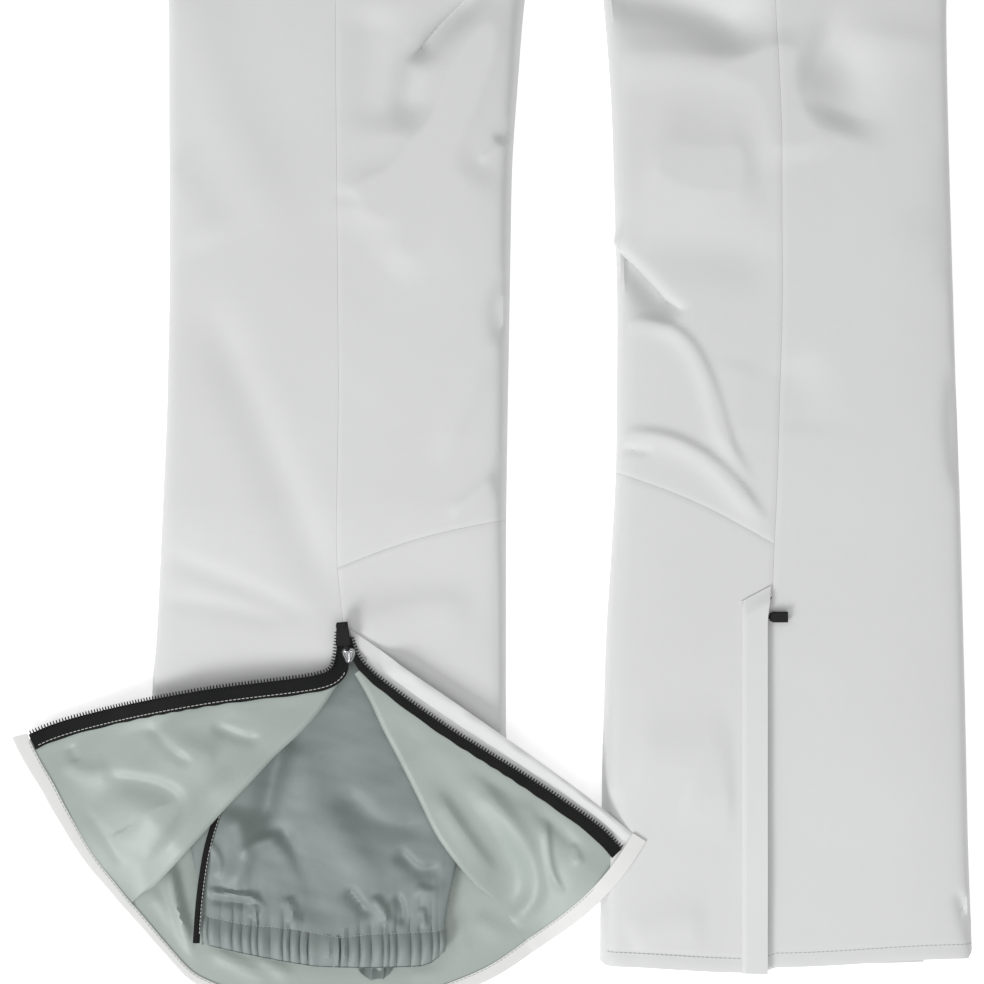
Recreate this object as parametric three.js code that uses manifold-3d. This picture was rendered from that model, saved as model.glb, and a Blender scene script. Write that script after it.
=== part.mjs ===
// Ski pants laid flat on their back, front side up, with the left leg opened at its boot zip.
// Millimetres, +Z up. x = 0 is the line between the legs, y = 0 the right hem, +Y runs to the waist.

import * as THREE from 'three';
import Module from 'manifold-3d';
import { mergeVertices } from 'three/addons/utils/BufferGeometryUtils.js';

const wasm = await Module();
wasm.setup();

// ---------------------------------------------------------------- driving dimensions

const CROTCH_Y = 800;          // inseam length
const YOKE_Y = 850;            // seam between thigh and hip panels
const BAND_Y = 1020;           // seam under the waistband
const WAIST_Y = 1060;          // top of the waistband
const CLOTH = 1.6;             // shell fabric with its backing
const LINING = 0.8;
const SEAM = 0.4;              // gap between two panels at a seam
const LAYER = 0.3;             // gap between two layers that lie on each other
const EDGE_Z = 4.4;            // height of the front cloth along its side edges
const CROWN = 21.6;            // rise of the front cloth from its edge to the middle of a leg
const CROWN_POWER = 4;         // how flat the middle of a leg lies
const ZIP_X = 127;             // right boot zip
const ZIP_TOP = 250;
const ZIP_BOTTOM = 8;
const APEX = [-143, 207];      // where the left boot zip starts to open
const FAN = { outer: -76.4, outerFold: -40.7, innerFold: 32, inner: 57 };  // degrees from straight down
const HEM_RADIUS = 232;        // opened hem, measured from the apex, at the zip
const HEM_LINE = [             // opened hem: angle from straight down, distance from the apex
  [-76.4, 232], [-58, 223.5], [-46, 225.5], [-31, 237.5], [-20, 246], [-9, 247], [17, 239.5], [39, 234.5], [57, 232],
];
const FACING_W = 11;           // hem facing
const FLAP_W = 19;             // storm flaps
const TAPE_Z = 22.4;           // underside of a zip tape
const GAITER_TOP = 14.5;

// Side edges and centre seam of each leg, as [height above the hem, distance from the middle line].
const LEGS = {
  right: {
    sign: 1,
    inner: [[0, 25], [215, 29], [323, 36], [440, 37], [576, 33], [643, 28], [CROTCH_Y, 1]],
    outer: [[0, 275], [176, 270], [403, 263], [643, 257], [CROTCH_Y, 276], [890, 270], [BAND_Y, 215], [WAIST_Y, 212]],
    seam: [[0, 140], [YOKE_Y, 140]],
  },
  left: {
    sign: -1,
    inner: [[0, 38], [296, 38], [443, 35.5], [536, 34], [643, 26], [CROTCH_Y, 1]],
    outer: [[0, 280], [182, 276], [296, 269], [443, 264], [643, 264], [CROTCH_Y, 276], [890, 270], [BAND_Y, 215],
      [WAIST_Y, 212]],
    seam: [[0, 143], [YOKE_Y, 151]],
  },
};

// ---------------------------------------------------------------- colours

const finish = (color, roughness, metalness = 0) => ({ color, roughness, metalness });
const SHELL = finish(0xe6e9e8, 0.8);
const LINING_GREY = finish(0xa8b2ac, 0.55);
const GAITER_GREY = finish(0x87918f, 0.6);
const WHITE_TRIM = finish(0xdadbd8, 0.8);
const BLACK_TAPE = finish(0x191b1a, 0.75);
const BLACK_PLASTIC = finish(0x161718, 0.4);
const DARK_CHROME = finish(0x4a4c4e, 0.3, 0.9);

// ---------------------------------------------------------------- small helpers

const rad = THREE.MathUtils.degToRad;
const degrees = THREE.MathUtils.radToDeg;
const mix = THREE.MathUtils.lerp;
const ease = THREE.MathUtils.smoothstep;
const clamp = THREE.MathUtils.clamp;

// Straight-line interpolation through [position, value] pairs.
function along(points, at) {
  for (let i = 1; i < points.length; i += 1) {
    const [a, va] = points[i - 1];
    const [b, vb] = points[i];
    if (at <= b || i === points.length - 1) return mix(va, vb, clamp((at - a) / (b - a), 0, 1));
  }
  return points[0][1];
}

const innerEdge = (leg, y) => (y >= CROTCH_Y ? SEAM / 2 : along(leg.inner, y));
const outerEdge = (leg, y) => along(leg.outer, y);
const centreSeam = (leg, y) => along(leg.seam, y);

// Height of the front cloth's outer face over one leg; the two legs run into one crown over the hips.
function legTop(leg, x, y) {
  const across = Math.abs(x);
  const inner = innerEdge(leg, y);
  const outer = outerEdge(leg, y);
  const u = clamp((across - inner) / (outer - inner), 0, 1);
  const legCrown = 1 - Math.abs(2 * u - 1) ** CROWN_POWER;
  const hipCrown = 1 - clamp(across / outer, 0, 1) ** CROWN_POWER;
  return EDGE_Z + CROWN * mix(legCrown, hipCrown, ease(y, 740, 840));
}

// Height of the surface that the turned-back flaps lie on. The outer one falls from the left leg's crown to the
// floor; the inner one is held straight by its zip and reaches over the right leg's edge.
const FAN_CROWN = 27.5;
const FAN_FLOOR = 6;
const FAN_TIP = 18;

function fanTop(x, y) {
  if (x < APEX[0]) return mix(FAN_CROWN, FAN_FLOOR, ease(-x, 215, 300));
  const reach = (x - APEX[0]) * Math.sin(rad(FAN.inner)) - (y - APEX[1]) * Math.cos(rad(FAN.inner));
  return mix(FAN_CROWN, FAN_TIP, clamp(reach / HEM_RADIUS, 0, 1));
}

// Turns every triangle of a closed geometry outward.
function outward(geometry) {
  geometry.deleteAttribute('normal');
  geometry.deleteAttribute('uv');
  const merged = mergeVertices(geometry, 1e-4);
  const p = merged.attributes.position;
  const index = merged.index;
  const [a, b, c] = [new THREE.Vector3(), new THREE.Vector3(), new THREE.Vector3()];
  let volume = 0;
  for (let i = 0; i < index.count; i += 3) {
    a.fromBufferAttribute(p, index.getX(i));
    b.fromBufferAttribute(p, index.getX(i + 1));
    c.fromBufferAttribute(p, index.getX(i + 2));
    volume += a.dot(b.cross(c));
  }
  for (let i = 0; volume < 0 && i < index.count; i += 3) {
    const second = index.getX(i + 1);
    index.setX(i + 1, index.getX(i + 2));
    index.setX(i + 2, second);
  }
  merged.computeVertexNormals();
  return merged;
}

// A closed sheet: `at(u, v)` gives [x, y, underside, top] for u and v from 0 to 1.
function slab(columns, rows, at) {
  const spaced = (steps, i) => (Array.isArray(steps) ? steps[i] : i / steps);
  const count = (steps) => (Array.isArray(steps) ? steps.length - 1 : steps);
  const [nu, nv] = [count(columns), count(rows)];
  const box = new THREE.BoxGeometry(1, 1, 1, nu, nv, 1);
  const p = box.attributes.position;
  for (let i = 0; i < p.count; i += 1) {
    const u = spaced(columns, Math.round((p.getX(i) + 0.5) * nu));
    const v = spaced(rows, Math.round((p.getY(i) + 0.5) * nv));
    const [x, y, low, high] = at(u, v);
    p.setXYZ(i, x, y, p.getZ(i) > 0 ? high : low);
  }
  return outward(box);
}

// A flat piece of the given outline between two heights.
function plate(outline, low, high) {
  const shape = new THREE.Shape(outline.map(([x, y]) => new THREE.Vector2(x, y)));
  const geometry = new THREE.ExtrudeGeometry(shape, { depth: high - low, bevelEnabled: false });
  return outward(geometry.translate(0, 0, low));
}

function cylinder(radius, low, high, x = 0, y = 0) {
  const geometry = new THREE.CylinderGeometry(radius, radius, high - low, 16);
  return outward(geometry.rotateX(Math.PI / 2).translate(x, y, (low + high) / 2));
}

function toSolid(geometry) {
  const vertProperties = new Float32Array(geometry.attributes.position.array);
  const triVerts = new Uint32Array(geometry.index.array);
  return new wasm.Manifold(new wasm.Mesh({ numProp: 3, vertProperties, triVerts }));
}

function fromSolid(solid) {
  const { vertProperties, triVerts } = solid.getMesh();
  const geometry = new THREE.BufferGeometry();
  geometry.setAttribute('position', new THREE.BufferAttribute(new Float32Array(vertProperties), 3));
  geometry.setIndex(new THREE.BufferAttribute(new Uint32Array(triVerts), 1));
  return outward(geometry);
}

const pants = new THREE.Group();

function add(name, geometry, look, parent = pants) {
  const mesh = new THREE.Mesh(geometry, new THREE.MeshStandardMaterial(look));
  mesh.name = name;
  parent.add(mesh);
  return mesh;
}

// ---------------------------------------------------------------- leg and hip panels

// A front panel between two lines across the leg; `low` and `high` give y for u from the left line to the right.
function frontPanel(name, leg, { left, right, low, high, rows = 12 }) {
  add(name, slab(6, rows, (u, v) => {
    const y = mix(low(u), high(u), v);
    const x = leg.sign * mix(left(y), right(y), u);
    const top = legTop(leg, x, y);
    return [x, y, top - CLOTH, top];
  }), SHELL);
}

// The calf seam falls from the inner edge to the centre seam; the scuff panel lies below it.
const CALF_SEAM = { right: { inner: 327, centre: 285 }, left: { inner: 296, centre: 264 } };
const ZIP_SLOT_HALF = 4.5;
const SLOT_END = ZIP_TOP + 8;  // the panels close up to the centre seam over the last 8 mm of the slot

// Row positions from 0 to 1 that put a row of the sheet at each listed height.
const rowsAt = (heights) => heights.map((y) => (y - heights[0]) / (heights.at(-1) - heights[0]));

function rightFront() {
  const leg = LEGS.right;
  const inner = (y) => innerEdge(leg, y);
  const outer = (y) => outerEdge(leg, y);
  const seam = (y) => centreSeam(leg, y);
  const closing = (y) => ease(y, ZIP_TOP, SLOT_END);
  const calf = (u) => mix(CALF_SEAM.right.inner, CALF_SEAM.right.centre, u);
  frontPanel('right_front_inner_panel', leg, {
    left: inner, right: (y) => seam(y) - SEAM / 2, low: (u) => calf(u) + SEAM, high: () => YOKE_Y, rows: 14,
  });
  frontPanel('right_front_outer_panel', leg, {
    left: (y) => mix(ZIP_X + ZIP_SLOT_HALF, seam(y) + SEAM / 2, closing(y)), right: outer,
    low: () => 0, high: () => YOKE_Y,
    rows: rowsAt([0, 50, 100, 150, 200, ZIP_TOP, SLOT_END, 320, 400, 480, 560, 640, 700, 740, 780, 815, YOKE_Y]),
  });
  frontPanel('right_scuff_panel', leg, {
    left: inner, right: (y) => mix(ZIP_X - ZIP_SLOT_HALF, seam(y) - SEAM / 2, closing(y)),
    low: () => -3, high: calf, rows: rowsAt([-3, 50, 100, 150, 200, ZIP_TOP, SLOT_END, CALF_SEAM.right.centre]),
  });
}

function leftFront() {
  const leg = LEGS.left;
  const inner = (y) => innerEdge(leg, y);
  const outer = (y) => outerEdge(leg, y);
  const seam = (y) => centreSeam(leg, y);
  const calf = (u) => mix(CALF_SEAM.left.inner, CALF_SEAM.left.centre, u);
  const foldY = (side, u) => mix(side, APEX[1] + 16, u);
  frontPanel('left_front_inner_panel', leg, {
    left: inner, right: (y) => seam(y) - SEAM / 2, low: (u) => calf(u) + SEAM, high: () => YOKE_Y, rows: 14,
  });
  frontPanel('left_front_outer_panel', leg, {
    left: outer, right: (y) => seam(y) + SEAM / 2, low: (u) => foldY(62, u), high: () => YOKE_Y, rows: 18,
  });
  frontPanel('left_scuff_panel', leg, {
    left: inner, right: (y) => seam(y) - SEAM / 2, low: (u) => foldY(52, u), high: calf, rows: 8,
  });
}

const FLY_HALF = 5;            // the hip panels stop short of the middle line to leave the fly open

function hipPanels() {
  for (const [side, leg] of Object.entries(LEGS)) {
    frontPanel(`${side}_hip_panel`, leg, {
      left: () => FLY_HALF, right: (y) => outerEdge(leg, y), low: () => YOKE_Y + SEAM, high: () => BAND_Y, rows: 8,
    });
  }
}

// Point at a polar place around the apex; the angle counts from straight down, positive towards the right leg.
function fanPoint(angle, radius) {
  return [APEX[0] + radius * Math.sin(rad(angle)), APEX[1] - radius * Math.cos(rad(angle))];
}

const hemRadius = (angle) => along(HEM_LINE, angle);

function arcAtHem(from, to, inset, steps) {
  return Array.from({ length: steps + 1 }, (_, i) => {
    const angle = mix(from, to, i / steps);
    return fanPoint(angle, hemRadius(angle) - inset);
  });
}

// Outline of a leg's back, walked up the inner edge and down the outer one.
function backOutline(leg, inset, top) {
  const lift = (list) => list.filter(([y]) => y > 0 && y < top);
  const up = lift(leg.inner).map(([y, x]) => [leg.sign * (x + inset), y]);
  const down = lift(leg.outer).reverse().map(([y, x]) => [leg.sign * (x - inset), y]);
  const corners = [
    [leg.sign * (SEAM / 2 + inset), CROTCH_Y + 1],
    [leg.sign * (SEAM / 2 + inset), top],
    [leg.sign * (outerEdge(leg, top) - inset), top],
  ];
  return { up, corners, down };
}

function backPanels() {
  for (const [side, layer] of [['panel', 0], ['lining', 1]]) {
    const inset = layer ? 6 : 0;
    const top = layer ? BAND_Y - 4 : BAND_Y - SEAM;
    const low = layer ? CLOTH + LAYER : 0;
    const high = layer ? CLOTH + LAYER + LINING : CLOTH;
    const look = layer ? LINING_GREY : SHELL;
    const right = backOutline(LEGS.right, inset, top);
    const rightHem = [[275 - inset, inset], [25 + inset, inset]];
    add(`right_back_${side}`, plate([...rightHem, ...right.up, ...right.corners, ...right.down], low, high), look);
    const left = backOutline(LEGS.left, inset, top);
    const kneeDown = left.up.filter(([, y]) => y > 200);
    const hem = arcAtHem(FAN.outerFold, FAN.innerFold, inset, 12);
    add(`left_back_${side}`, plate([...hem, ...kneeDown, ...left.corners, ...left.down], low, high), look);
  }
}

// ---------------------------------------------------------------- opened left leg end

// A layer of the fan between two angles, `lift` above whatever lies under it.
function fanSheet(name, look, { from, to, start, end, lift, thickness, columns = 12, rows = 12 }) {
  add(name, slab(columns, rows, (u, v) => {
    const reach = mix(start, HEM_RADIUS, v);
    const angle = mix(from(reach), to(reach), u);
    const radius = mix(start, end(angle), v);
    const [x, y] = fanPoint(angle, radius);
    const low = fanTop(x, y) + lift;
    return [x, y, low, low + thickness];
  }), look);
}

const FLAP_LIFT = 1.5;
const FLAP_SHELL = 1.2;
const LINING_LIFT = FLAP_LIFT + FLAP_SHELL + 2 * LAYER;
const TRIM_LIFT = LINING_LIFT + LINING + 1;
const ROOT_GAP = 8;            // the inner zip runs this far to the cavity side of its ray from the apex

function openedFlaps() {
  const outerEdgeAngle = () => FAN.outer + 0.8;
  const innerEdgeAngle = (radius) => FAN.inner - degrees(Math.asin(ROOT_GAP / radius));
  const flaps = [
    ['outer', outerEdgeAngle, () => FAN.outerFold],
    ['inner', () => FAN.innerFold, innerEdgeAngle],
  ];
  for (const [side, from, to] of flaps) {
    fanSheet(`left_${side}_flap_shell`, SHELL, {
      from, to, start: 26, end: hemRadius, lift: FLAP_LIFT, thickness: FLAP_SHELL,
    });
    fanSheet(`left_${side}_flap_lining`, LINING_GREY, {
      from, to, start: 26, end: hemRadius, lift: LINING_LIFT, thickness: LINING,
    });
  }
}

function hemFacing() {
  const back = CLOTH + LAYER + LINING + LAYER;
  add('left_hem_facing', slab(30, 1, (u, v) => {
    const angle = mix(FAN.outer + 3, FAN.inner - 3, u);
    const [x, y] = fanPoint(angle, hemRadius(angle) - mix(1.5, FACING_W + 1.5, v));
    const onFlap = Math.max(ease(-angle, -FAN.outerFold - 7, -FAN.outerFold - 2),
      ease(angle, FAN.innerFold - 7, FAN.innerFold - 2));
    const low = mix(back, fanTop(x, y) + TRIM_LIFT, onFlap);
    return [x, y, low, low + LINING];
  }), WHITE_TRIM);
  add('right_hem_facing', slab(10, 1, (u, v) => {
    const x = mix(146, 240, u);
    const y = mix(2, 2 + FACING_W, v);
    const top = legTop(LEGS.right, x, y) - CLOTH - 1.5;
    return [x, y, top - LINING, top];
  }), WHITE_TRIM);
}

// ---------------------------------------------------------------- snow gaiters

// A flattened tube that runs up the leg, with `half(y)` its half width.
function flatTube(name, look, { x, from, to, half, low, high, wall, tilt = 0 }) {
  const round = (high - low) / 2;
  const outline = (width, radius) => {
    const shape = new THREE.Shape();
    shape.absarc(width - radius, 0, radius, -Math.PI / 2, Math.PI / 2);
    shape.absarc(-width + radius, 0, radius, Math.PI / 2, (3 * Math.PI) / 2);
    return shape;
  };
  const nominal = 100;
  const ring = outline(nominal, round);
  ring.holes.push(outline(nominal - wall, round - wall));
  const steps = 4;
  const geometry = new THREE.ExtrudeGeometry(ring, { depth: 1, steps, bevelEnabled: false, curveSegments: 8 });
  const p = geometry.attributes.position;
  for (let i = 0; i < p.count; i += 1) {
    const y = mix(from, to, p.getZ(i));
    const across = p.getX(i);
    const corner = clamp(Math.abs(across) - (nominal - round), 0, round);
    const width = Math.sign(across) * (half(y) - round + corner);
    const flat = (across / (nominal - round)) * (half(y) - round);
    const offset = corner > 0 ? width : flat;
    p.setXYZ(i, x + offset, y - offset * tilt, (low + high) / 2 + p.getY(i));
  }
  add(name, outward(geometry), look);
}

function gaiters() {
  for (const [side, middle] of [['right', 150], ['left', -158]]) {
    flatTube(`${side}_gaiter`, GAITER_GREY, {
      x: middle, from: 27, to: 190, half: (y) => mix(80, 88, ease(y, 27, 100)), low: 3.4, high: GAITER_TOP, wall: 1.2,
    });
    flatTube(`${side}_gaiter_cuff`, GAITER_GREY, {
      x: middle, from: 0, to: 24, half: () => 80, low: 3.4, high: GAITER_TOP + 1.5, wall: 2.6, tilt: 0.02,
    });
  }
}

// ---------------------------------------------------------------- zips

const COIL_W = 2;
const CHAIN_GAP = 1.2;         // from the chain's middle to each coil, so that the slider's web runs between them

// Half of a boot zip, laid straight: tape with its coil along the edge nearest the middle.
function straightZipHalf(name, side) {
  add(name, slab([0, 0.145, 0.165, 1], 10, (u, v) => {
    const x = ZIP_X + side * mix(CHAIN_GAP, CHAIN_GAP + 13, u);
    const coil = u < 0.15 ? COIL_W : 0;
    return [x, mix(ZIP_BOTTOM, ZIP_TOP - 2, v), TAPE_Z, TAPE_Z + 1 + coil];
  }), BLACK_TAPE);
}

function openZipHalves() {
  const end = HEM_RADIUS - FACING_W - 4;
  add('left_zip_half_outer', slab([0, 0.18, 0.2, 1], 12, (u, v) => {
    const radius = mix(26, end, v);
    const width = 11 * clamp(radius / 70, 0.4, 1);
    const angle = FAN.outer + degrees(Math.atan((u * width) / radius));
    const [x, y] = fanPoint(angle, radius);
    const low = fanTop(x, y) + TRIM_LIFT;
    return [x, y, low, low + 1 + (u < 0.19 ? COIL_W : 0)];
  }), BLACK_TAPE);
  add('left_zip_half_inner', slab([0, 0.75, 0.77, 1], 12, (u, v) => {
    const reach = mix(24, 210, v);
    const [x, y] = rootPoint(reach, -0.4 - 8 * (1 - u) * clamp(reach / 70, 0.5, 1));
    const low = fanTop(x, y) + TRIM_LIFT;
    return [x, y, low, low + 1 + (u > 0.76 ? COIL_W : 0)];
  }), BLACK_TAPE);
}

// The left storm flap's root: a straight line beside the inner zip. `reach` runs along it, `out` away from the cavity.
function rootPoint(reach, out) {
  const [sine, cosine] = [Math.sin(rad(FAN.inner)), Math.cos(rad(FAN.inner))];
  return [
    APEX[0] + sine * reach + cosine * (out - ROOT_GAP),
    APEX[1] - cosine * reach + sine * (out - ROOT_GAP),
  ];
}

const STORM_HINGE_X = ZIP_X - 9.4;
const STORM_Z = 29.2;          // underside of a storm flap where it passes over a slider

function stormFlaps() {
  add('right_storm_flap', slab([0, 0.12, 0.3, 0.65, 1], 10, (u, v) => {
    const tip = ease(v, 0.94, 1);
    const x = mix(STORM_HINGE_X + 0.3 + 6 * tip, STORM_HINGE_X + 17, u);
    const low = mix(26.4, STORM_Z, ease(u, 0, 0.3));
    return [x, mix(-3, ZIP_TOP + 4, v), low, low + CLOTH];
  }), SHELL);
  add('left_storm_flap', slab(4, 12, (u, v) => {
    const tip = 6 * ease(0.08 - v, 0, 0.08);
    const [x, y] = rootPoint(mix(22 + tip, 224, v), mix(0.8, FLAP_W, u));
    const low = fanTop(x, y) + FLAP_LIFT;
    return [x, y, low, low + CLOTH];
  }), SHELL);
}

const STUD_R = 1.2;

// Slider in its own frame: the zip runs along y, z counts from the tape's underside.
function sliderShape({ length, plateHalf, straddles }) {
  const roof = new THREE.BoxGeometry(2 * plateHalf, length, 1.1).translate(0, 0, 3.85);
  const stud = cylinder(STUD_R, 4.2, 6.5);
  let body = toSolid(outward(roof)).add(toSolid(stud));
  if (straddles) {
    const web = new THREE.BoxGeometry(1.4, length * 0.6, 5).translate(0, length * 0.1, 1.4);
    const floor = new THREE.BoxGeometry(2 * plateHalf, length, 0.9).translate(0, 0, -0.75);
    body = body.add(toSolid(outward(web))).add(toSolid(outward(floor)));
  }
  return fromSolid(body);
}

// Pull tab in its own frame: an eye round the slider's stud, a neck, and a grip along +x.
function pullerShape({ neck, grip, width, thickness }) {
  const ring = toSolid(cylinder(2.9, 4.75, 6.1)).subtract(toSolid(cylinder(STUD_R + 0.3, 4, 7)));
  const bar = new THREE.BoxGeometry(neck, 2.4, 1.2).translate(2.2 + neck / 2, 0, 5.4);
  const hexagon = new THREE.Shape([
    new THREE.Vector2(0, -width * 0.36), new THREE.Vector2(grip * 0.22, -width / 2), new THREE.Vector2(grip, -width / 2),
    new THREE.Vector2(grip, width / 2), new THREE.Vector2(grip * 0.22, width / 2), new THREE.Vector2(0, width * 0.36),
  ]);
  const bevel = thickness > 2 ? 0.8 : 0.3;
  const block = new THREE.ExtrudeGeometry(hexagon, {
    depth: thickness - 2 * bevel, bevelEnabled: true, bevelThickness: bevel, bevelSize: bevel, bevelOffset: -bevel,
    bevelSegments: 1,
  }).translate(2.2 + neck - 0.4, 0, 4.75 + bevel);
  return fromSolid(ring.add(toSolid(outward(bar))).add(toSolid(outward(block))));
}

// A slider with its pull tab. `heading` turns the zip's line from +y, `pull` turns the tab from +x, in degrees.
function sliderAndPuller(prefix, { at, heading, pull, slider, puller }) {
  const place = new THREE.Group();
  place.position.set(...at);
  pants.add(place);
  add(`${prefix}_slider`, sliderShape(slider), DARK_CHROME, place).rotation.z = rad(heading);
  add(`${prefix}_puller`, pullerShape(puller), BLACK_PLASTIC, place).rotation.z = rad(pull);
}

const BOOT_SLIDER = { length: 11, plateHalf: 4, straddles: true };
const BOOT_PULLER = { neck: 7.2, grip: 12, width: 7, thickness: 3.8 };
const SMALL_SLIDER = { length: 9, plateHalf: 3.4, straddles: false };
const SMALL_PULLER = { neck: 3.5, grip: 14, width: 6, thickness: 3.2 };
const FLY_PULLER = { neck: 3.5, grip: 12, width: 6, thickness: 1.4 };
const POCKET = { top: [112, 1004], bottom: [196, 880] };

function bootZips() {
  straightZipHalf('right_zip_half_inner', -1);
  straightZipHalf('right_zip_half_outer', 1);
  openZipHalves();
  sliderAndPuller('right_zip', {
    at: [ZIP_X, ZIP_TOP - 18, TAPE_Z], heading: 0, pull: 0, slider: BOOT_SLIDER, puller: BOOT_PULLER,
  });
  sliderAndPuller('left_zip', {
    at: [APEX[0], APEX[1] - 1, TAPE_Z], heading: 0, pull: 97, slider: { ...BOOT_SLIDER, length: 12 },
    puller: { neck: 4, grip: 15, width: 8, thickness: 3.8 },
  });
}

// ---------------------------------------------------------------- fly, pockets and waist

// A closed chain on its tape, seen as one strip with a ridge along the middle.
const CHAIN_COLUMNS = [0, 0.4, 0.42, 0.58, 0.6, 1];
const chainRise = (u) => (u > 0.41 && u < 0.59 ? COIL_W : 0);

function fly() {
  add('fly_guard', slab(3, 4, (u, v) => [mix(-16, 16, u), mix(864, 1014, v), 18.8, 20.2]), SHELL);
  add('fly_zip', slab(CHAIN_COLUMNS, 6, (u, v) => [
    mix(-11, 11, u), mix(866, 1016, v), TAPE_Z, TAPE_Z + 1 + chainRise(u),
  ]), BLACK_TAPE);
  sliderAndPuller('fly', {
    at: [0, 1006, TAPE_Z + 0.3], heading: 0, pull: -90, slider: { ...SMALL_SLIDER, plateHalf: 3.8 }, puller: FLY_PULLER,
  });
  add('fly_flap', slab([0, 0.1, 0.25, 0.6, 1], 8, (u, v) => {
    const foot = ease(0.2 - v, 0, 0.2);
    const low = mix(26.4, STORM_Z + 0.4, ease(u, 0, 0.25));
    return [mix(-15.7, 24 - 14 * foot, u), mix(864, 1018, v), low, low + CLOTH];
  }), SHELL);
}

function pockets() {
  for (const [side, leg] of Object.entries(LEGS)) {
    const place = (t, out) => {
      const [x, y] = [mix(POCKET.top[0], POCKET.bottom[0], t), mix(POCKET.top[1], POCKET.bottom[1], t)];
      const length = Math.hypot(POCKET.bottom[0] - POCKET.top[0], POCKET.bottom[1] - POCKET.top[1]);
      const normal = [(POCKET.top[1] - POCKET.bottom[1]) / length, (POCKET.bottom[0] - POCKET.top[0]) / length];
      return [leg.sign * (x + out * normal[0]), y + out * normal[1]];
    };
    add(`${side}_pocket_zip`, slab(CHAIN_COLUMNS, 8, (u, v) => {
      const [x, y] = place(v, mix(-9, 9, u));
      const low = legTop(leg, x, y) + 0.4;
      return [x, y, low, low + 0.8 + chainRise(u) * 0.6];
    }), BLACK_TAPE);
    const [x, y] = place(0.06, 0);
    const slope = degrees(Math.atan2(POCKET.bottom[0] - POCKET.top[0], POCKET.top[1] - POCKET.bottom[1]));
    sliderAndPuller(`${side}_pocket`, {
      at: [x, y, legTop(leg, x, y) + 0.4], heading: leg.sign * slope, pull: -90 + leg.sign * slope,
      slider: SMALL_SLIDER, puller: SMALL_PULLER,
    });
    add(`${side}_pocket_bag`, slab(6, 6, (u, v) => {
      const width = mix(74, 84, Math.sin(Math.PI * v));
      return [leg.sign * mix(98, 98 + width, u), mix(850, 1000, v), 11.4, 13.8];
    }), LINING_GREY);
  }
}

function waistband() {
  for (const [side, leg] of Object.entries(LEGS)) {
    add(`waistband_front_${side}`, slab(10, 1, (u, v) => {
      const y = mix(BAND_Y + SEAM, WAIST_Y, v);
      const x = leg.sign * mix(SEAM / 2, outerEdge(leg, y), u);
      const top = legTop(leg, x, y);
      return [x, y, top - 2, top];
    }), SHELL);
  }
  const half = (y) => outerEdge(LEGS.right, y);
  add('waistband_back', plate([
    [-half(BAND_Y), BAND_Y], [half(BAND_Y), BAND_Y], [half(WAIST_Y), WAIST_Y], [-half(WAIST_Y), WAIST_Y],
  ], 0, CLOTH), SHELL);
}

const TAB = { from: -30, to: 48, low: 1030, high: 1052, snap: 36 };
const ADJUSTER = { from: 88, to: 148, low: 1031, high: 1049 };
const LOOPS = { near: 64, far: 168, width: 9 };
const LOOP_RISE = 5.2;

function waistHardware() {
  const middle = (TAB.low + TAB.high) / 2;
  add('waist_snap_socket', cylinder(5, 26.3, 28, TAB.snap, middle), DARK_CHROME);
  add('waist_tab', slab([0, 0.08, 0.2, 0.6, 1], 2, (u, v) => {
    const low = mix(26.4, 28.4, ease(u, 0, 0.2));
    return [mix(TAB.from + 0.3, TAB.to, u), mix(TAB.low, TAB.high, v), low, low + CLOTH];
  }), SHELL);
  add('waist_snap_cap', cylinder(6, 30.3, 32.6, TAB.snap, middle), DARK_CHROME);
  for (const [side, leg] of Object.entries(LEGS)) {
    add(`${side}_adjuster_tab`, slab(6, 2, (u, v) => {
      const x = leg.sign * mix(ADJUSTER.from, ADJUSTER.to, u);
      const y = mix(ADJUSTER.low, ADJUSTER.high, v);
      const low = legTop(leg, x, y) + 0.5;
      return [x, y, low, low + 1.4];
    }), SHELL);
    for (const [place, across] of [['near', LOOPS.near], ['far', LOOPS.far]]) {
      beltLoop(`${side}_belt_loop_${place}`, leg, across);
    }
  }
}

// A strap over the waistband, sewn down at both ends and standing clear of it between them for a belt.
function beltLoop(name, leg, across) {
  const rows = [0, 0.12, 0.2, 0.5, 0.8, 0.88, 1];
  add(name, slab(1, rows, (u, v) => {
    const x = leg.sign * (across + LOOPS.width * (u - 0.5));
    const y = mix(BAND_Y - 10, WAIST_Y - 2, v);
    const raised = ease(v, 0.11, 0.2) * (1 - ease(v, 0.8, 0.89));
    const seat = legTop(leg, leg.sign * (across - LOOPS.width / 2), y) + 0.4;
    const low = seat + LOOP_RISE * raised;
    return [x, y, low, low + 1.2];
  }), SHELL);
}

// ---------------------------------------------------------------- assembly

backPanels();
rightFront();
leftFront();
hipPanels();
openedFlaps();
hemFacing();
gaiters();
bootZips();
stormFlaps();
fly();
pockets();
waistband();
waistHardware();

// The origin is the middle of the box round everything, on the surface that the pants lie on.
const bounds = new THREE.Box3().setFromObject(pants);
const centre = bounds.getCenter(new THREE.Vector3());
pants.position.set(-centre.x, -centre.y, -bounds.min.z);

const group = new THREE.Group();
group.add(pants);

export default group;
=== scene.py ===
"""Ski pants laid flat on their back, with the left leg zipped open: the looks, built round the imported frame.

Metres. Shapes are worked out in pattern coordinates: x from the line between the legs, y up from the right
hem, z up from the floor.
"""

import math

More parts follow.
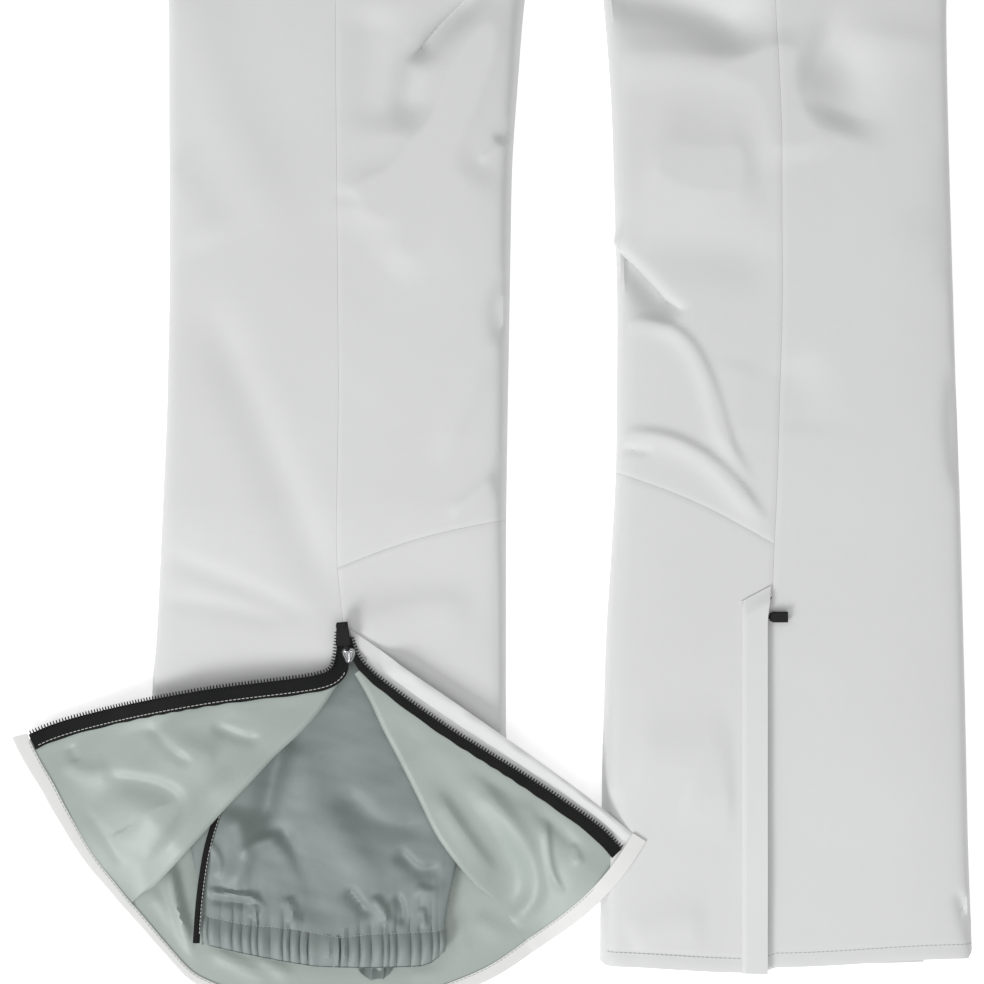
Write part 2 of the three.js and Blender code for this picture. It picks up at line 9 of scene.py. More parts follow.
import bpy
import numpy as np
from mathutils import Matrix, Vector


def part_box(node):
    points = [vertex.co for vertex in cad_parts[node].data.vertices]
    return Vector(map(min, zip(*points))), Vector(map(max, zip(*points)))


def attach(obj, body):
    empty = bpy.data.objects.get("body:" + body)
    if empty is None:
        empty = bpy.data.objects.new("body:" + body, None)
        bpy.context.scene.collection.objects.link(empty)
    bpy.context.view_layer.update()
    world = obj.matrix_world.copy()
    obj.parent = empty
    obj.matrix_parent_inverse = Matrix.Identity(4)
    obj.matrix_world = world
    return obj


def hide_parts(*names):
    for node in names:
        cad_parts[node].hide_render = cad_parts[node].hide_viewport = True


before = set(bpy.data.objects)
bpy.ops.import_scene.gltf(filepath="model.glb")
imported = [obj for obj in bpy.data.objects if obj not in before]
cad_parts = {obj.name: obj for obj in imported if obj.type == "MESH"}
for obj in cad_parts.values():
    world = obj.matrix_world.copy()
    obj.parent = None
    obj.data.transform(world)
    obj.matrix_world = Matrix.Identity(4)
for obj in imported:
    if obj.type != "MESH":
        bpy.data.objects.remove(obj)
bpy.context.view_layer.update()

# ------------------------------------------------------------------ driving dimensions

band_low, band_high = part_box("waistband_back")
MID_X = (band_low.x + band_high.x) / 2
HEM_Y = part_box("right_front_outer_panel")[0].y
SHELL_T = 0.0012
LINING_T = 0.0006
BACK_T = 0.0015
BAND_T = 0.0018
FACING_T = 0.0008
ELASTIC_T = 0.0009
TAPE_T = 0.0007
BINDING_T = 0.0006
STITCH_R = 0.00022
SEAM = 0.0001                  # gap between two panels at a seam
TUCK_WIDTH = 0.0011            # panel edges turn slightly under at a seam
TUCK_DEPTH = 0.00045

EDGE_Z = 0.0030                # front cloth along the side edges
CROWN_Z = 0.0260               # front cloth in the middle of a leg
TOP_Z = CROWN_Z + 0.0025       # highest that a fold may stand
DOME = 0.14                    # share of the height that is a low dome, the rest is the rounded side
DOME_POWER = 6
SIDE_POWER = 56
HIP_EDGE_Z = 0.0044
HIP_POWER = 4
HIP_START = 0.74               # where a leg's cross-section starts to turn into the hip's
HIP_RAMP = 0.10

CROTCH_Y = 0.800
YOKE_Y = 0.850
FLY_Y = 0.861
BAND_Y = 1.020
WAIST_Y = 1.060
HEM_STITCH_Y = 0.0095
HEM_LOW_Y = -0.0036            # lower end of the right storm flap
POCKET_TOP = (0.112, 1.004)
POCKET_BOTTOM = (0.196, 0.880)
ZIP_X = 0.127                  # right boot zip
ZIP_TOP = 0.250
FLY_ZIP_Z = 0.0257
SLOT_HALF = 0.0045             # half the gap between the cloth edges beside it

APEX = (-0.143, 0.207)         # where the left boot zip opens
HEM_R = 0.232                  # opened hem, measured from the apex, at the zips
OUTER_FOLD = -40.7             # angles about the apex, in degrees from straight down, towards the inner leg
INNER_FOLD = 32.0
OUTER_HEM = -75.6
INNER_HEM = 57.0
BACK_LINING_Z = 0.0027
FLAP_LIFT = 0.0035             # lining of the turned-back flaps, over the opened end's own crown
STORM_LIFT = 0.0042
STORM_ROOT = 0.33              # share of the way from the zip to the storm flap's edge where its cloth begins

GAITER_TOP = 0.206
CUFF_HALF = 0.0805             # half the cuff's width
CUFF_TALL = 0.92               # its height as a share of the gaiter's
CUFF_INSIDE = 0.012            # how much further inside the closed leg the cuff sits
CUFF_SEED = 5


def smooth(t):
    t = np.clip(t, 0.0, 1.0)
    return t * t * (3 - 2 * t)


def mix(a, b, t):
    return a + (b - a) * t


def level(y):
    """A line straight across a leg, as a function of the share of its width."""
    return lambda u: y + 0 * u


def metres(*line):
    """A line of points written in millimetres."""
    return [(x / 1000, y / 1000) for x, y in line]


def profile(*points, blur=0.04, step=0.001, low=-0.2, high=1.3):
    """A smooth curve through (position, value) pairs, as a function of position."""
    at = np.arange(low, high, step)
    values = np.interp(at, *np.array(points).T)
    window = np.hanning(2 * int(blur / step) + 1)
    padded = np.pad(values, len(window) // 2, mode="edge")
    rounded = np.convolve(padded, window / window.sum(), mode="valid")
    return lambda p: np.interp(p, at, rounded)


class Leg:
    """One leg's outline: how far its edges and its centre seam are from the middle line at each height."""

    def __init__(self, side, sign, inner, outer, seam):
        self.side = side
        self.sign = sign
        self.folds = []
        self.inner_edge = profile(*inner)
        self.outer_edge = profile(*outer)
        self.seam = profile(*seam)

    def inner(self, y):
        return np.where(y < CROTCH_Y, np.maximum(self.inner_edge(y), SEAM / 2), SEAM / 2)

    def outer(self, y):
        return self.outer_edge(y)


HIP_POINTS = [(CROTCH_Y, 0.275), (0.89, 0.270), (BAND_Y, 0.215), (WAIST_Y, 0.2115)]
RIGHT = Leg(
    "right", 1,
    [(0, 0.025), (0.12, 0.0265), (0.215, 0.029), (0.323, 0.036), (0.44, 0.037), (0.576, 0.033),
     (0.643, 0.028), (0.72, 0.017), (CROTCH_Y, 0)],
    [(0, 0.275), (0.075, 0.272), (0.176, 0.270), (0.323, 0.266), (0.403, 0.263), (0.576, 0.258),
     (0.643, 0.257), (0.72, 0.262), *HIP_POINTS],
    [(0, 0.138), (0.25, 0.138), (0.31, 0.141), (0.44, 0.145), (0.556, 0.1443), (0.643, 0.140),
     (YOKE_Y, 0.140)],
)
LEFT = Leg(
    "left", -1,
    [(0, 0.038), (0.296, 0.038), (0.443, 0.0355), (0.536, 0.034), (0.603, 0.029), (0.643, 0.026),
     (0.72, 0.015), (CROTCH_Y, 0)],
    [(0, 0.280), (0.182, 0.276), (0.216, 0.2725), (0.296, 0.269), (0.356, 0.266), (0.443, 0.264),
     (0.643, 0.2645), (0.72, 0.267), *HIP_POINTS],
    [(0, 0.143), (0.207, 0.1435), (0.235, 0.147), (0.269, 0.151), (0.376, 0.149), (0.456, 0.1496),
     (0.6, 0.151), (YOKE_Y, 0.150)],
)

# ------------------------------------------------------------------ folds in the cloth


def curved(line, rounds=3):
    """The same line of points with its corners cut off, so that it bends smoothly."""
    points = np.array(line, float)
    for _ in range(rounds):
        near = mix(points[:-1], points[1:], 0.25)
        far = mix(points[:-1], points[1:], 0.75)
        middle = np.stack([near, far], 1).reshape(-1, 2)[1:-1]
        points = np.concatenate([points[:1], middle, points[-1:]])
    return [tuple(point) for point in points]


def beside(x, y, line):
    """Distance from a smooth line of points, which side of it (left is positive), and a fade at both ends."""
    line = curved(line) if len(line) > 2 else line
    nearest = np.full(np.shape(x), 1e9)
    share = np.zeros(np.shape(x))
    side = np.ones(np.shape(x))
    lengths = [math.dist(a, b) for a, b in zip(line, line[1:])]
    total = sum(lengths)
    walked = 0.0
    for (ax, ay), (bx, by), length in zip(line, line[1:], lengths):
        ux, uy = (bx - ax) / length, (by - ay) / length
        t = np.clip((x - ax) * ux + (y - ay) * uy, 0, length)
        gap = np.hypot(x - ax - ux * t, y - ay - uy * t)
        closer = gap < nearest
        nearest = np.where(closer, gap, nearest)
        share = np.where(closer, (walked + t) / total, share)
        side = np.where(closer, ux * (y - ay) - uy * (x - ax), side)
        walked += length
    return nearest, side, smooth(share / 0.22) * smooth((1 - share) / 0.25)


def near_line(x, y, line, reach):
    """Which of the places lie inside a line's own box, widened by reach."""
    xs, ys = zip(*line)
    return (x > min(xs) - reach) & (x < max(xs) + reach) & (y > min(ys) - reach) & (y < max(ys) + reach)


def crease(x, y, line, width, height, ridge=1.0):
    """A soft ridge, or a valley where height is negative, along a line of points, fading at both ends.

    ridge below 1 makes the left-hand side of the line that much steeper than the right-hand side.
    """
    x, y = np.broadcast_arrays(np.asarray(x, float), np.asarray(y, float))
    result = np.zeros(x.shape)
    inside = near_line(x, y, line, 3.2 * width)
    if not inside.any():
        return result
    nearest, side, fade = beside(x[inside], y[inside], line)
    spread = mix(width, width * ridge, smooth(0.5 + side / (0.8 * width)))
    result[inside] = height * fade * np.exp(-((nearest / spread) ** 2))
    return result


def overlap(x, y, line, width, pull):
    """How far cloth on the left-hand side of a fold line is drawn over it, as shifts in x and y."""
    x, y = np.broadcast_arrays(np.asarray(x, float), np.asarray(y, float))
    shift = np.zeros(x.shape)
    inside = near_line(x, y, line, 5 * width)
    if inside.any():
        nearest, side, fade = beside(x[inside], y[inside], line)
        gap = np.where(side > 0, nearest, 0.0)
        shift[inside] = pull * fade * smooth(gap / width) * np.exp(-((gap / (3 * width)) ** 2))
    (ax, ay), (bx, by) = line[0], line[-1]
    length = math.dist(line[0], line[-1])
    return shift * (by - ay) / length, -shift * (bx - ax) / length


def ripple(x, y, size, height, seed):
    """Gentle unevenness made of a few crossing waves about `size` long."""
    draws = np.random.default_rng(seed)
    total = np.zeros(np.shape(x))
    for _ in range(7):
        angle = draws.uniform(0, 2 * math.pi)
        length = size * draws.uniform(0.7, 1.8)
        shift = draws.uniform(0, 2 * math.pi)
        c, s = math.cos(angle), math.sin(angle)
        bend = 0.6 * np.sin((x * s - y * c) * 2 * math.pi / (2.7 * length) + shift)
        total = total + np.sin((x * c + y * s) * 2 * math.pi / length + shift + bend)
    return height * total / 7


def fold_table(*rows):
    """Folds from rows of a line, a width and a height in millimetres, and the ridge that crease() takes."""
    return [(metres(*line), width / 1000, height / 1000, ridge) for line, width, height, ridge in rows]


RIGHT_FOLDS = fold_table(
    ([(18, 652), (62, 647), (102, 634), (136, 612)], 20, -12.5, 0.9),
    ([(28, 603), (80, 602), (136, 597)], 16, 2.8, 0.7),
    ([(136, 622), (143, 590), (152, 558), (160, 530)], 25, 4, 0.9),
    ([(158, 616), (186, 602), (194, 576), (184, 548)], 24, -6.6, 0.8),
    ([(50, 540), (90, 527), (132, 532)], 24, 3.4, 1.0),
    ([(30, 480), (90, 477), (150, 468)], 18, -2.2, 1.0),
    ([(28, 486), (36, 478), (56, 458), (80, 430)], 15, -10.5, 0.35),
    ([(30, 424), (56, 430), (82, 418), (98, 386), (108, 346), (128, 316)], 7, 2.6, 0.5),
    ([(30, 352), (62, 354), (92, 341), (115, 319), (138, 288)], 8, 3, 0.5),
    ([(34, 344), (60, 342)], 3, -1.6, 0.6),
    ([(120, 404), (112, 372), (116, 342)], 16, 1, 0.9),
    ([(150, 382), (184, 430), (214, 466), (244, 505)], 15, 1.8, 1.0),
    ([(150, 405), (160, 372), (160, 350)], 18, -0.9, 1.0),
    ([(262, 404), (257, 362), (265, 312)], 6, -4, 0.6),
    ([(262, 560), (254, 500), (262, 440)], 10, -2, 0.8),
    ([(150, 612), (200, 616), (258, 608)], 16, 1.6, 0.7),
    ([(262, 52), (266, 32), (273, 10)], 4, -2.6, 0.5),
    ([(40, 146), (80, 137), (118, 144)], 24, 1.8, 0.9),
    ([(78, 118), (98, 110), (118, 112)], 18, 1.2, 0.9),
    ([(40, 18), (70, 31), (98, 30)], 14, 1.4, 0.9),
    ([(30, 120), (34, 90), (46, 70)], 8, -1.6, 0.8),
)
OVERLAPS = [
    # line, width of the cloth drawn over, how far it is drawn
    (metres((28, 486), (36, 478), (56, 458), (80, 430)), 0.0055, 0.0075),
    (metres((-102, 598), (-88, 622), (-66, 642), (-45, 664)), 0.0055, 0.005),
]
LEFT_FOLDS = fold_table(
    ([(-158, 524), (-134, 511), (-112, 513), (-90, 538), (-72, 572), (-54, 610), (-38, 655)
      ], 17, 5.6, 0.85),
    ([(-106, 548), (-100, 590), (-90, 618), (-52, 662)], 15, -7.8, 0.9),
    ([(-102, 598), (-88, 622), (-66, 642), (-45, 664)], 11, -8.5, 0.5),
    ([(-124, 640), (-128, 592), (-126, 548)], 16, -2.8, 0.9),
    ([(-158, 512), (-132, 507), (-106, 507)], 5, -1, 1.0),
    ([(-258, 670), (-236, 590), (-208, 524), (-188, 470)], 22, 2.2, 1.0),
    ([(-270, 532), (-248, 508), (-230, 474)], 20, 1.8, 0.9),
    ([(-242, 452), (-208, 376), (-180, 308), (-161, 260), (-149, 226)], 16, -2.6, 0.8),
    ([(-272, 276), (-236, 262), (-196, 246), (-160, 226)], 8, -1.5, 0.7),
    ([(-272, 244), (-226, 240), (-176, 226)], 7, -1.2, 0.7),
    ([(-50, 534), (-84, 492), (-120, 460)], 18, 2.8, 0.9),
    ([(-32, 560), (-44, 546)], 5, -3.6, 0.6),
    ([(-38, 548), (-56, 532)], 4, 1.4, 0.6),
    ([(-34, 462), (-46, 442), (-40, 410)], 6, -2.4, 0.7),
    ([(-36, 430), (-66, 372), (-84, 330)], 10, 1.4, 0.8),
    ([(-32, 344), (-44, 326), (-36, 310)], 5, -3, 0.6),
    ([(-42, 326), (-78, 298)], 5, 1.2, 0.6),
    ([(-146, 222), (-104, 238), (-56, 240)], 16, 2, 0.7),
)

RIGHT.folds = RIGHT_FOLDS
LEFT.folds = LEFT_FOLDS


def swell(share):
    """Cross-section of a filled leg from its middle (0) to its edge (1): a low dome over a rounded side."""
    return DOME * (1 - share**DOME_POWER) + (1 - DOME) * (1 - share**SIDE_POWER)


def leg_height(leg, x, y):
    """Outer face of the front cloth, with its folds; x is the true place, negative on the left leg."""
    across = np.abs(x)
    inner = leg.inner(y)
    outer = leg.outer(y)
    u = np.clip((across - inner) / (outer - inner), 0, 1)
    hip_share = smooth((y - HIP_START) / HIP_RAMP)
    on_leg = swell(np.abs(2 * u - 1))
    on_hip = 1 - np.clip(across / outer, 0, 1) ** HIP_POWER
    edge = mix(EDGE_Z, HIP_EDGE_Z, hip_share)
    z = edge + (CROWN_Z - edge) * mix(on_leg, on_hip, hip_share)
    folds = sum(crease(x, y, *fold) for fold in leg.folds)
    folds = folds + ripple(x, y, 0.11, 0.0007, 3 + leg.sign) + ripple(x, y, 0.032, 0.00010, 7 + leg.sign)
    folds = folds + crotch_folds(across, y)
    calm = smooth(np.minimum(u, 1 - u) / 0.030)
    if leg.sign < 0:
        from_apex = np.hypot(x - APEX[0], y - APEX[1])
        z = z - 0.0045 * smooth((0.31 - y) / 0.08) * (1 - np.exp(-((from_apex / 0.05) ** 2))) * calm
    quiet = calm * beside_hardware(leg, x, y)
    return np.minimum(z + folds * quiet, mix(CROWN_Z, TOP_Z, quiet))


def beside_hardware(leg, x, y):
    """From 0 on the zips, fly, pockets and waistband, where the cloth lies smooth, to 1 away from them."""
    across = np.abs(x)
    near_zip = smooth((np.abs(x - ZIP_X) - 0.008) / 0.012) if leg.sign > 0 else 1.0
    near_zip = np.where(y > ZIP_TOP + 0.01, 1.0, near_zip)
    near_fly = np.where(y > 0.84, smooth((across - 0.018) / 0.015), 1.0)
    below_band = 1 - smooth((y - 1.0) / 0.02)
    return near_zip * near_fly * below_band * smooth((pocket_distance(across, y) - 0.010) / 0.012)


def crotch_folds(across, y):
    """Folds that run from the crotch out towards the hips and the knees."""
    fans = [metres((10, 800), (60, 812), (125, 846)), metres((16, 782), (70, 764), (140, 766)),
            metres((20, 758), (60, 716), (78, 650))]
    return sum(crease(across, y, fan, 0.017, 0.0015, 0.6) for fan in fans)


def pocket_distance(across, y):
    """How far a place is from the straight line of the hand-pocket zip."""
    (ax, ay), (bx, by) = POCKET_TOP, POCKET_BOTTOM
    length = math.dist(POCKET_TOP, POCKET_BOTTOM)
    ux, uy = (bx - ax) / length, (by - ay) / length
    t = np.clip((across - ax) * ux + (y - ay) * uy, 0, length)
    return np.hypot(across - ax - ux * t, y - ay - uy * t)


# ------------------------------------------------------------------ the opened leg end

outer_zip_angle = profile((0.005, -36), (0.0135, -46), (0.026, -57.5), (0.0598, -72.5), (0.110, -76.9),
                          (0.161, -77.1), (0.192, -76.8), (0.209, -76.4), (0.222, -75.9), (0.26, -75),
                          blur=0.006)
inner_zip_angle = profile((0.008, 62), (0.0286, 53.8), (0.0536, 53.3), (0.084, 53.7), (0.1135, 55.0),
                          (0.1426, 55.9), (0.173, 55.8), (0.2036, 55.6), (0.2228, 54.6), (0.26, 54),
                          blur=0.008)
storm_edge_angle = profile((0.014, 125), (0.019, 108), (0.030, 86), (0.0446, 74.4), (0.0739, 66.9),
                           (0.104, 63.2), (0.1347, 61.1), (0.165, 60.2), (0.1965, 58.9), (0.2225, 57.9),
                           (0.26, 57.4), blur=0.005)
outer_fold_angle = profile((0.01, -29), (0.037, -31), (0.080, -38.4), (0.13, -40.2), (0.26, -41.4),
                           blur=0.015)
inner_fold_angle = profile((0.01, 37), (0.05, 29.5), (0.13, 27.6), (0.19, 30.5), (0.26, 33), blur=0.015)
hem_radius = profile((-76, 0.2320), (-66, 0.2245), (-58, 0.2235), (-46, 0.2255), (-37, 0.2310), (-31, 0.2375),
                     (-26, 0.2450), (-9, 0.2470), (17, 0.2395), (24, 0.2385), (32, 0.2350), (39, 0.2345),
                     (52, 0.2335), (58, 0.2325), blur=3.0, step=0.25, low=-95, high=95)


def polar(angle, radius):
    """Point at an angle from straight down, in degrees, and a distance from the apex."""
    a = np.radians(angle)
    return APEX[0] + radius * np.sin(a), APEX[1] - radius * np.cos(a)


def to_polar(x, y):
    dx, dy = x - APEX[0], APEX[1] - y
    return np.degrees(np.arctan2(dx, dy)), np.hypot(dx, dy)


FAN_FOLDS = fold_table(
    ([(-277, 163), (-262, 146), (-244, 134)], 5, -2, 0.6),
    ([(-270, 158), (-250, 146), (-225, 136)], 12, 2.2, 0.8),
    ([(-234, 162), (-214, 153), (-198, 151)], 5, -1.8, 0.6),
    ([(-312, 124), (-268, 121), (-252, 110), (-264, 90), (-286, 62)], 10, -3.4, 0.55),
    ([(-300, 104), (-280, 108), (-272, 92), (-292, 66)], 14, 2.2, 0.9),
    ([(-338, 134), (-316, 126), (-300, 132)], 8, 1.8, 0.7),
    ([(-330, 146), (-324, 134)], 4, -1, 0.7),
    ([(-322, 104), (-304, 82), (-294, 60)], 7, -1.8, 0.6),
    ([(-216, 132), (-236, 110), (-262, 82), (-280, 60)], 9, 1.6, 0.8),
    ([(-94, 146), (-74, 114), (-50, 90), (-32, 64), (-33, 40), (-58, 26)], 13, -2.6, 0.8),
    ([(-66, 132), (-34, 96), (-16, 64), (-20, 36), (-46, 14)], 8, 3, 0.8),
    ([(-12, 100), (-9, 62), (2, 44)], 4, 2.2, 0.6),
    ([(-86, 118), (-62, 82), (-44, 56)], 7, 2.4, 0.7),
    ([(6, 82), (12, 66)], 4, 1.2, 0.7),
    ([(-56, 34), (-36, 26), (-22, 16)], 6, -1.6, 0.6),
    ([(-20, 108), (0, 92), (12, 70)], 7, -1.6, 0.8),
)
CAVITY_FOLDS = fold_table(
    ([(-264, 72), (-262, 50), (-254, 20), (-247, -10)], 6, 6, 0.6),
    ([(-276, 48), (-268, 34), (-260, 10)], 5, 2.8, 0.7),
    ([(-290, 34), (-272, 40)], 3, 1, 0.6),
    ([(-238, 8), (-212, -6), (-194, -16)], 6, 2.6, 0.7),
    ([(-206, 4), (-180, -12)], 5, 2.4, 0.6),
    ([(-74, 46), (-68, 18), (-58, -6)], 1.5, 0.8, 0.6),
    ([(-60, 30), (-30, 12)], 6, 1.6, 0.7),
    ([(-104, -8), (-70, -14)], 7, 1.6, 0.7),
)


def bridge_height(x, y):
    """The opened end's plain crown on its inner side, sloping down from the apex to the hem."""
    slope = math.radians(INNER_HEM)
    reach = (x - APEX[0]) * math.sin(slope) - (y - APEX[1]) * math.cos(slope)
    return mix(0.0275, 0.018, np.clip(reach / HEM_R, 0, 1))


def flap_height(x, y):
    """Upper face of the turned-back flaps' lining."""
    angle, radius = to_polar(x, y)
    outer = x < APEX[0]
    crown = mix(0.0280, 0.006, smooth((-x - 0.245) / 0.090))
    body = np.where(outer, crown, bridge_height(x, y)) + FLAP_LIFT
    floor = BACK_LINING_Z + 0.0012
    past_fold = np.where(outer, OUTER_FOLD - angle, angle - INNER_FOLD)
    settled = np.where(outer, smooth((radius - 0.165) / 0.060), smooth((radius - 0.135) / 0.070))
    dip = 0.0045 * np.exp(-((radius / 0.018) ** 2))
    z = mix(mix(body, floor, settled), body, smooth(past_fold / 17.0)) - dip
    folds = sum(crease(x, y, *fold) for fold in FAN_FOLDS)
    folds = folds + ripple(x, y, 0.050, 0.0022, 21) + ripple(x, y, 0.020, 0.00040, 22)
    trim = smooth((hem_radius(angle) - radius - 0.010) / 0.02)
    zip_gap = np.where(outer, angle - outer_zip_angle(radius), inner_zip_angle(radius) - angle)
    near_zip = smooth((np.radians(zip_gap) * radius - 0.008) / 0.012)
    return z + folds * trim * near_zip * smooth((radius - 0.03) / 0.04)


def cavity_height(x, y):
    """Upper face of the back lining inside the opened leg."""
    angle, radius = to_polar(x, y)
    folds = sum(crease(x, y, *fold) for fold in CAVITY_FOLDS) + ripple(x, y, 0.05, 0.0008, 31)
    return BACK_LINING_Z + np.maximum(folds, -0.0004) * smooth((hem_radius(angle) - radius - 0.008) / 0.02)


# ------------------------------------------------------------------ mesh builders

MATERIALS = {}


def grid_faces(rows, columns, wrap):
    """Quads of a grid of points, as index rows; wrap joins the last column to the first."""
    index = np.arange(rows * columns).reshape(rows, columns)
    right = np.roll(index, -1, axis=1) if wrap else index[:, 1:]
    left = index if wrap else index[:, :-1]
    return np.stack([left[:-1], right[:-1], right[1:], left[1:]], -1).reshape(-1, 4)


def grid_normals(points, wrap):
    """Unit normals of a grid of points."""
    if wrap:
        across = np.roll(points, -1, axis=1) - np.roll(points, 1, axis=1)
    else:
        across = np.gradient(points, axis=1)
    normal = np.cross(across, np.gradient(points, axis=0))
    return normal / np.maximum(np.linalg.norm(normal, axis=-1, keepdims=True), 1e-12)


def make_object(name, points, faces, material, sharp=42):
    """A smooth-shaded mesh with one material; edges sharper than sharp degrees stay crisp."""
    mesh = bpy.data.meshes.new(name)
    mesh.from_pydata(points.tolist(), [], faces.tolist() if hasattr(faces, "tolist") else faces)
    mesh.validate()
    mesh.shade_smooth()
    mesh.set_sharp_from_angle(angle=math.radians(sharp))
    mesh.materials.append(MATERIALS[material])
    obj = bpy.data.objects.new(name, mesh)
    bpy.context.scene.collection.objects.link(obj)
    return obj


def cloth(name, surface, columns, rows, thickness, material, wrap=False):
    """A closed sheet of cloth; surface(u, v), with u and v from 0 to 1, gives its outer face."""
    across = np.linspace(0, 1, columns, endpoint=False) if wrap else np.linspace(0, 1, columns + 1)
    u, v = np.meshgrid(across, np.linspace(0, 1, rows + 1))
    x, y, z = surface(u, v)
    outer = np.stack([x + MID_X, y + HEM_Y, z + 0 * x], -1)
    normal = grid_normals(outer, wrap)
    turned = 1 if wrap or normal[..., 2].mean() > 0 else -1
    inner = outer - turned * thickness * normal
    if not wrap:
        inner[..., 2] = np.maximum(inner[..., 2], 0.0)
    count_v, count_u = x.shape
    front = grid_faces(count_v, count_u, wrap)
    back = front[:, ::-1] + count_u * count_v
    index = np.arange(count_u * count_v).reshape(count_v, count_u)
    if wrap:
        bottom = np.append(index[0], index[0][0])
        top = np.append(index[-1], index[-1][0])[::-1]
        rims = [bottom, top]
    else:
        edges = index[0, :-1], index[:-1, -1], index[-1, :0:-1], index[:0:-1, 0], index[:1, 0]
        rims = [np.concatenate(edges)]
    under = count_u * count_v
    sides = [np.stack([rim[1:], rim[:-1], rim[:-1] + under, rim[1:] + under], -1) for rim in rims]
    faces = np.concatenate([front, back, *sides])
    if turned < 0:
        faces = faces[:, ::-1]
    points = np.concatenate([outer.reshape(-1, 3), inner.reshape(-1, 3)])
    obj = make_object(name, points, faces, material)
    remember_cut(obj, outer, wrap)
    return obj


def remember_cut(obj, grid, wrap):
    """Keeps the flat size of the cloth that a grid was cut from."""
    closed = np.concatenate([grid, grid[:, :1]], axis=1) if wrap else grid
    widths = np.linalg.norm(np.diff(closed, axis=1), axis=-1).sum(1)
    lengths = np.linalg.norm(np.diff(closed, axis=0), axis=-1).sum(0)
    one = np.cross(closed[:-1, 1:] - closed[:-1, :-1], closed[1:, :-1] - closed[:-1, :-1])
    two = np.cross(closed[:-1, 1:] - closed[1:, 1:], closed[1:, :-1] - closed[1:, 1:])
    area = (np.linalg.norm(one, axis=-1) + np.linalg.norm(two, axis=-1)).sum() / 2
    width, length = float(widths.max()), float(lengths.max())
    obj["cut"] = [width, max(length, float(area) / width), float(area)]


def place(obj, body, slot, *nodes):
    """The piece rides on a body and stands for its CAD nodes; slot is not used."""
    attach(obj, body)
    if nodes:
        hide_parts(*nodes)
    return obj


def along_path(points, pitch):
    """Evenly spaced places and directions along a line of points, pitch apart."""
    points = np.asarray(points, float)
    steps = np.linalg.norm(np.diff(points, axis=0), axis=1)
    at = np.concatenate([[0], np.cumsum(steps)])
    where = np.arange(pitch / 2, at[-1], pitch)
    spots = np.stack([np.interp(where, at, points[:, k]) for k in range(3)], -1)
    ahead = np.stack([np.interp(where + pitch / 4, at, points[:, k]) for k in range(3)], -1)
    behind = np.stack([np.interp(where - pitch / 4, at, points[:, k]) for k in range(3)], -1)
    direction = ahead - behind
    return spots, direction / np.maximum(np.linalg.norm(direction, axis=1, keepdims=True), 1e-12)


def repeated(name, spots, forward, shape, quads, material, lift=(0, 0, 1)):
    """One mesh of many small copies of a shape, each turned along its own direction."""
    lift = np.asarray(lift, float)
    side = np.cross(lift, forward)
    side = side / np.maximum(np.linalg.norm(side, axis=1, keepdims=True), 1e-12)
    up = np.cross(forward, side)
    copies = (
        spots[:, None]
        + shape[None, :, :1] * forward[:, None]
        + shape[None, :, 1:2] * side[:, None]
        + shape[None, :, 2:3] * up[:, None]
    )
    faces = (quads[None] + (np.arange(len(spots)) * len(shape))[:, None, None]).reshape(-1, quads.shape[1])
    return make_object(name, copies.reshape(-1, 3), faces, material)


def bead(length, width, height, rings=4, sides=6):
    """A small rounded bar lying along its own x, with its ends drawn in."""
    t = np.linspace(-1, 1, rings)
    full = np.sqrt(np.clip(1 - (np.abs(t) * 0.86) ** 3, 0, 1))
    turn = np.linspace(0, 2 * math.pi, sides, endpoint=False)
    x = np.repeat(t * length / 2, sides)
    y = (full[:, None] * np.cos(turn) * width / 2).ravel()
    z = (full[:, None] * np.sin(turn) * height / 2).ravel()
    points = np.stack([x, y, z], -1)
    quads = grid_faces(rings, sides, True)
    caps = [[0, 1, 2, 3], [0, 3, 4, 5]]
    last = (rings - 1) * sides
    caps += [[last + 3, last + 2, last + 1, last], [last + 5, last + 4, last + 3, last]]
    return points, np.concatenate([quads[:, ::-1], np.array(caps)])


def stitches(name, path, body, material="thread_white", pitch=0.0030):
    """A row of thread stitches along a line of pattern points."""
    world = np.asarray(path, float) + (MID_X, HEM_Y, 0)
    spots, forward = along_path(world, pitch)
    shape, quads = bead(pitch * 0.72, 2 * STITCH_R, 2 * STITCH_R)
    return place(repeated(name, spots, forward, shape, quads, material), body, "shell_fabric")


def sampled(fn, start, end, count=120):
    """Points of a curve at evenly spaced values from start to end."""
    return np.array([fn(t) for t in np.linspace(start, end, count)])


def refined(node, name, body, slot, material, bevel=0.0004, levels=1, wrinkle=0.0, sharp=35):
    """A finer copy of a CAD node: rounded edges, a subdivided surface and, on cloth, a little unevenness."""
    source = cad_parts[node]
    obj = bpy.data.objects.new(name, source.data.copy())
    bpy.context.scene.collection.objects.link(obj)
    rounding = obj.modifiers.new("edges", "BEVEL")
    rounding.width = bevel
    rounding.segments = 2
    rounding.angle_limit = math.radians(sharp)
    if levels:
        fine = obj.modifiers.new("fine", "SUBSURF")
        fine.subdivision_type = "SIMPLE"
        fine.levels = fine.render_levels = levels
    graph = bpy.context.evaluated_depsgraph_get()
    mesh = bpy.data.meshes.new_from_object(obj.evaluated_get(graph))
    obj.modifiers.clear()
    obj.data = mesh
    if wrinkle:
        co = np.zeros(len(mesh.vertices) * 3)
        mesh.vertices.foreach_get("co", co)
        co = co.reshape(-1, 3)
        co[:, 2] += ripple(co[:, 0], co[:, 1], 0.02, wrinkle, len(node))
        mesh.vertices.foreach_set("co", co.ravel())
    mesh.shade_smooth()
    mesh.set_sharp_from_angle(angle=math.radians(50))
    mesh.materials.clear()
    mesh.materials.append(MATERIALS[material])
    return place(obj, body, slot, node)


# ------------------------------------------------------------------ materials


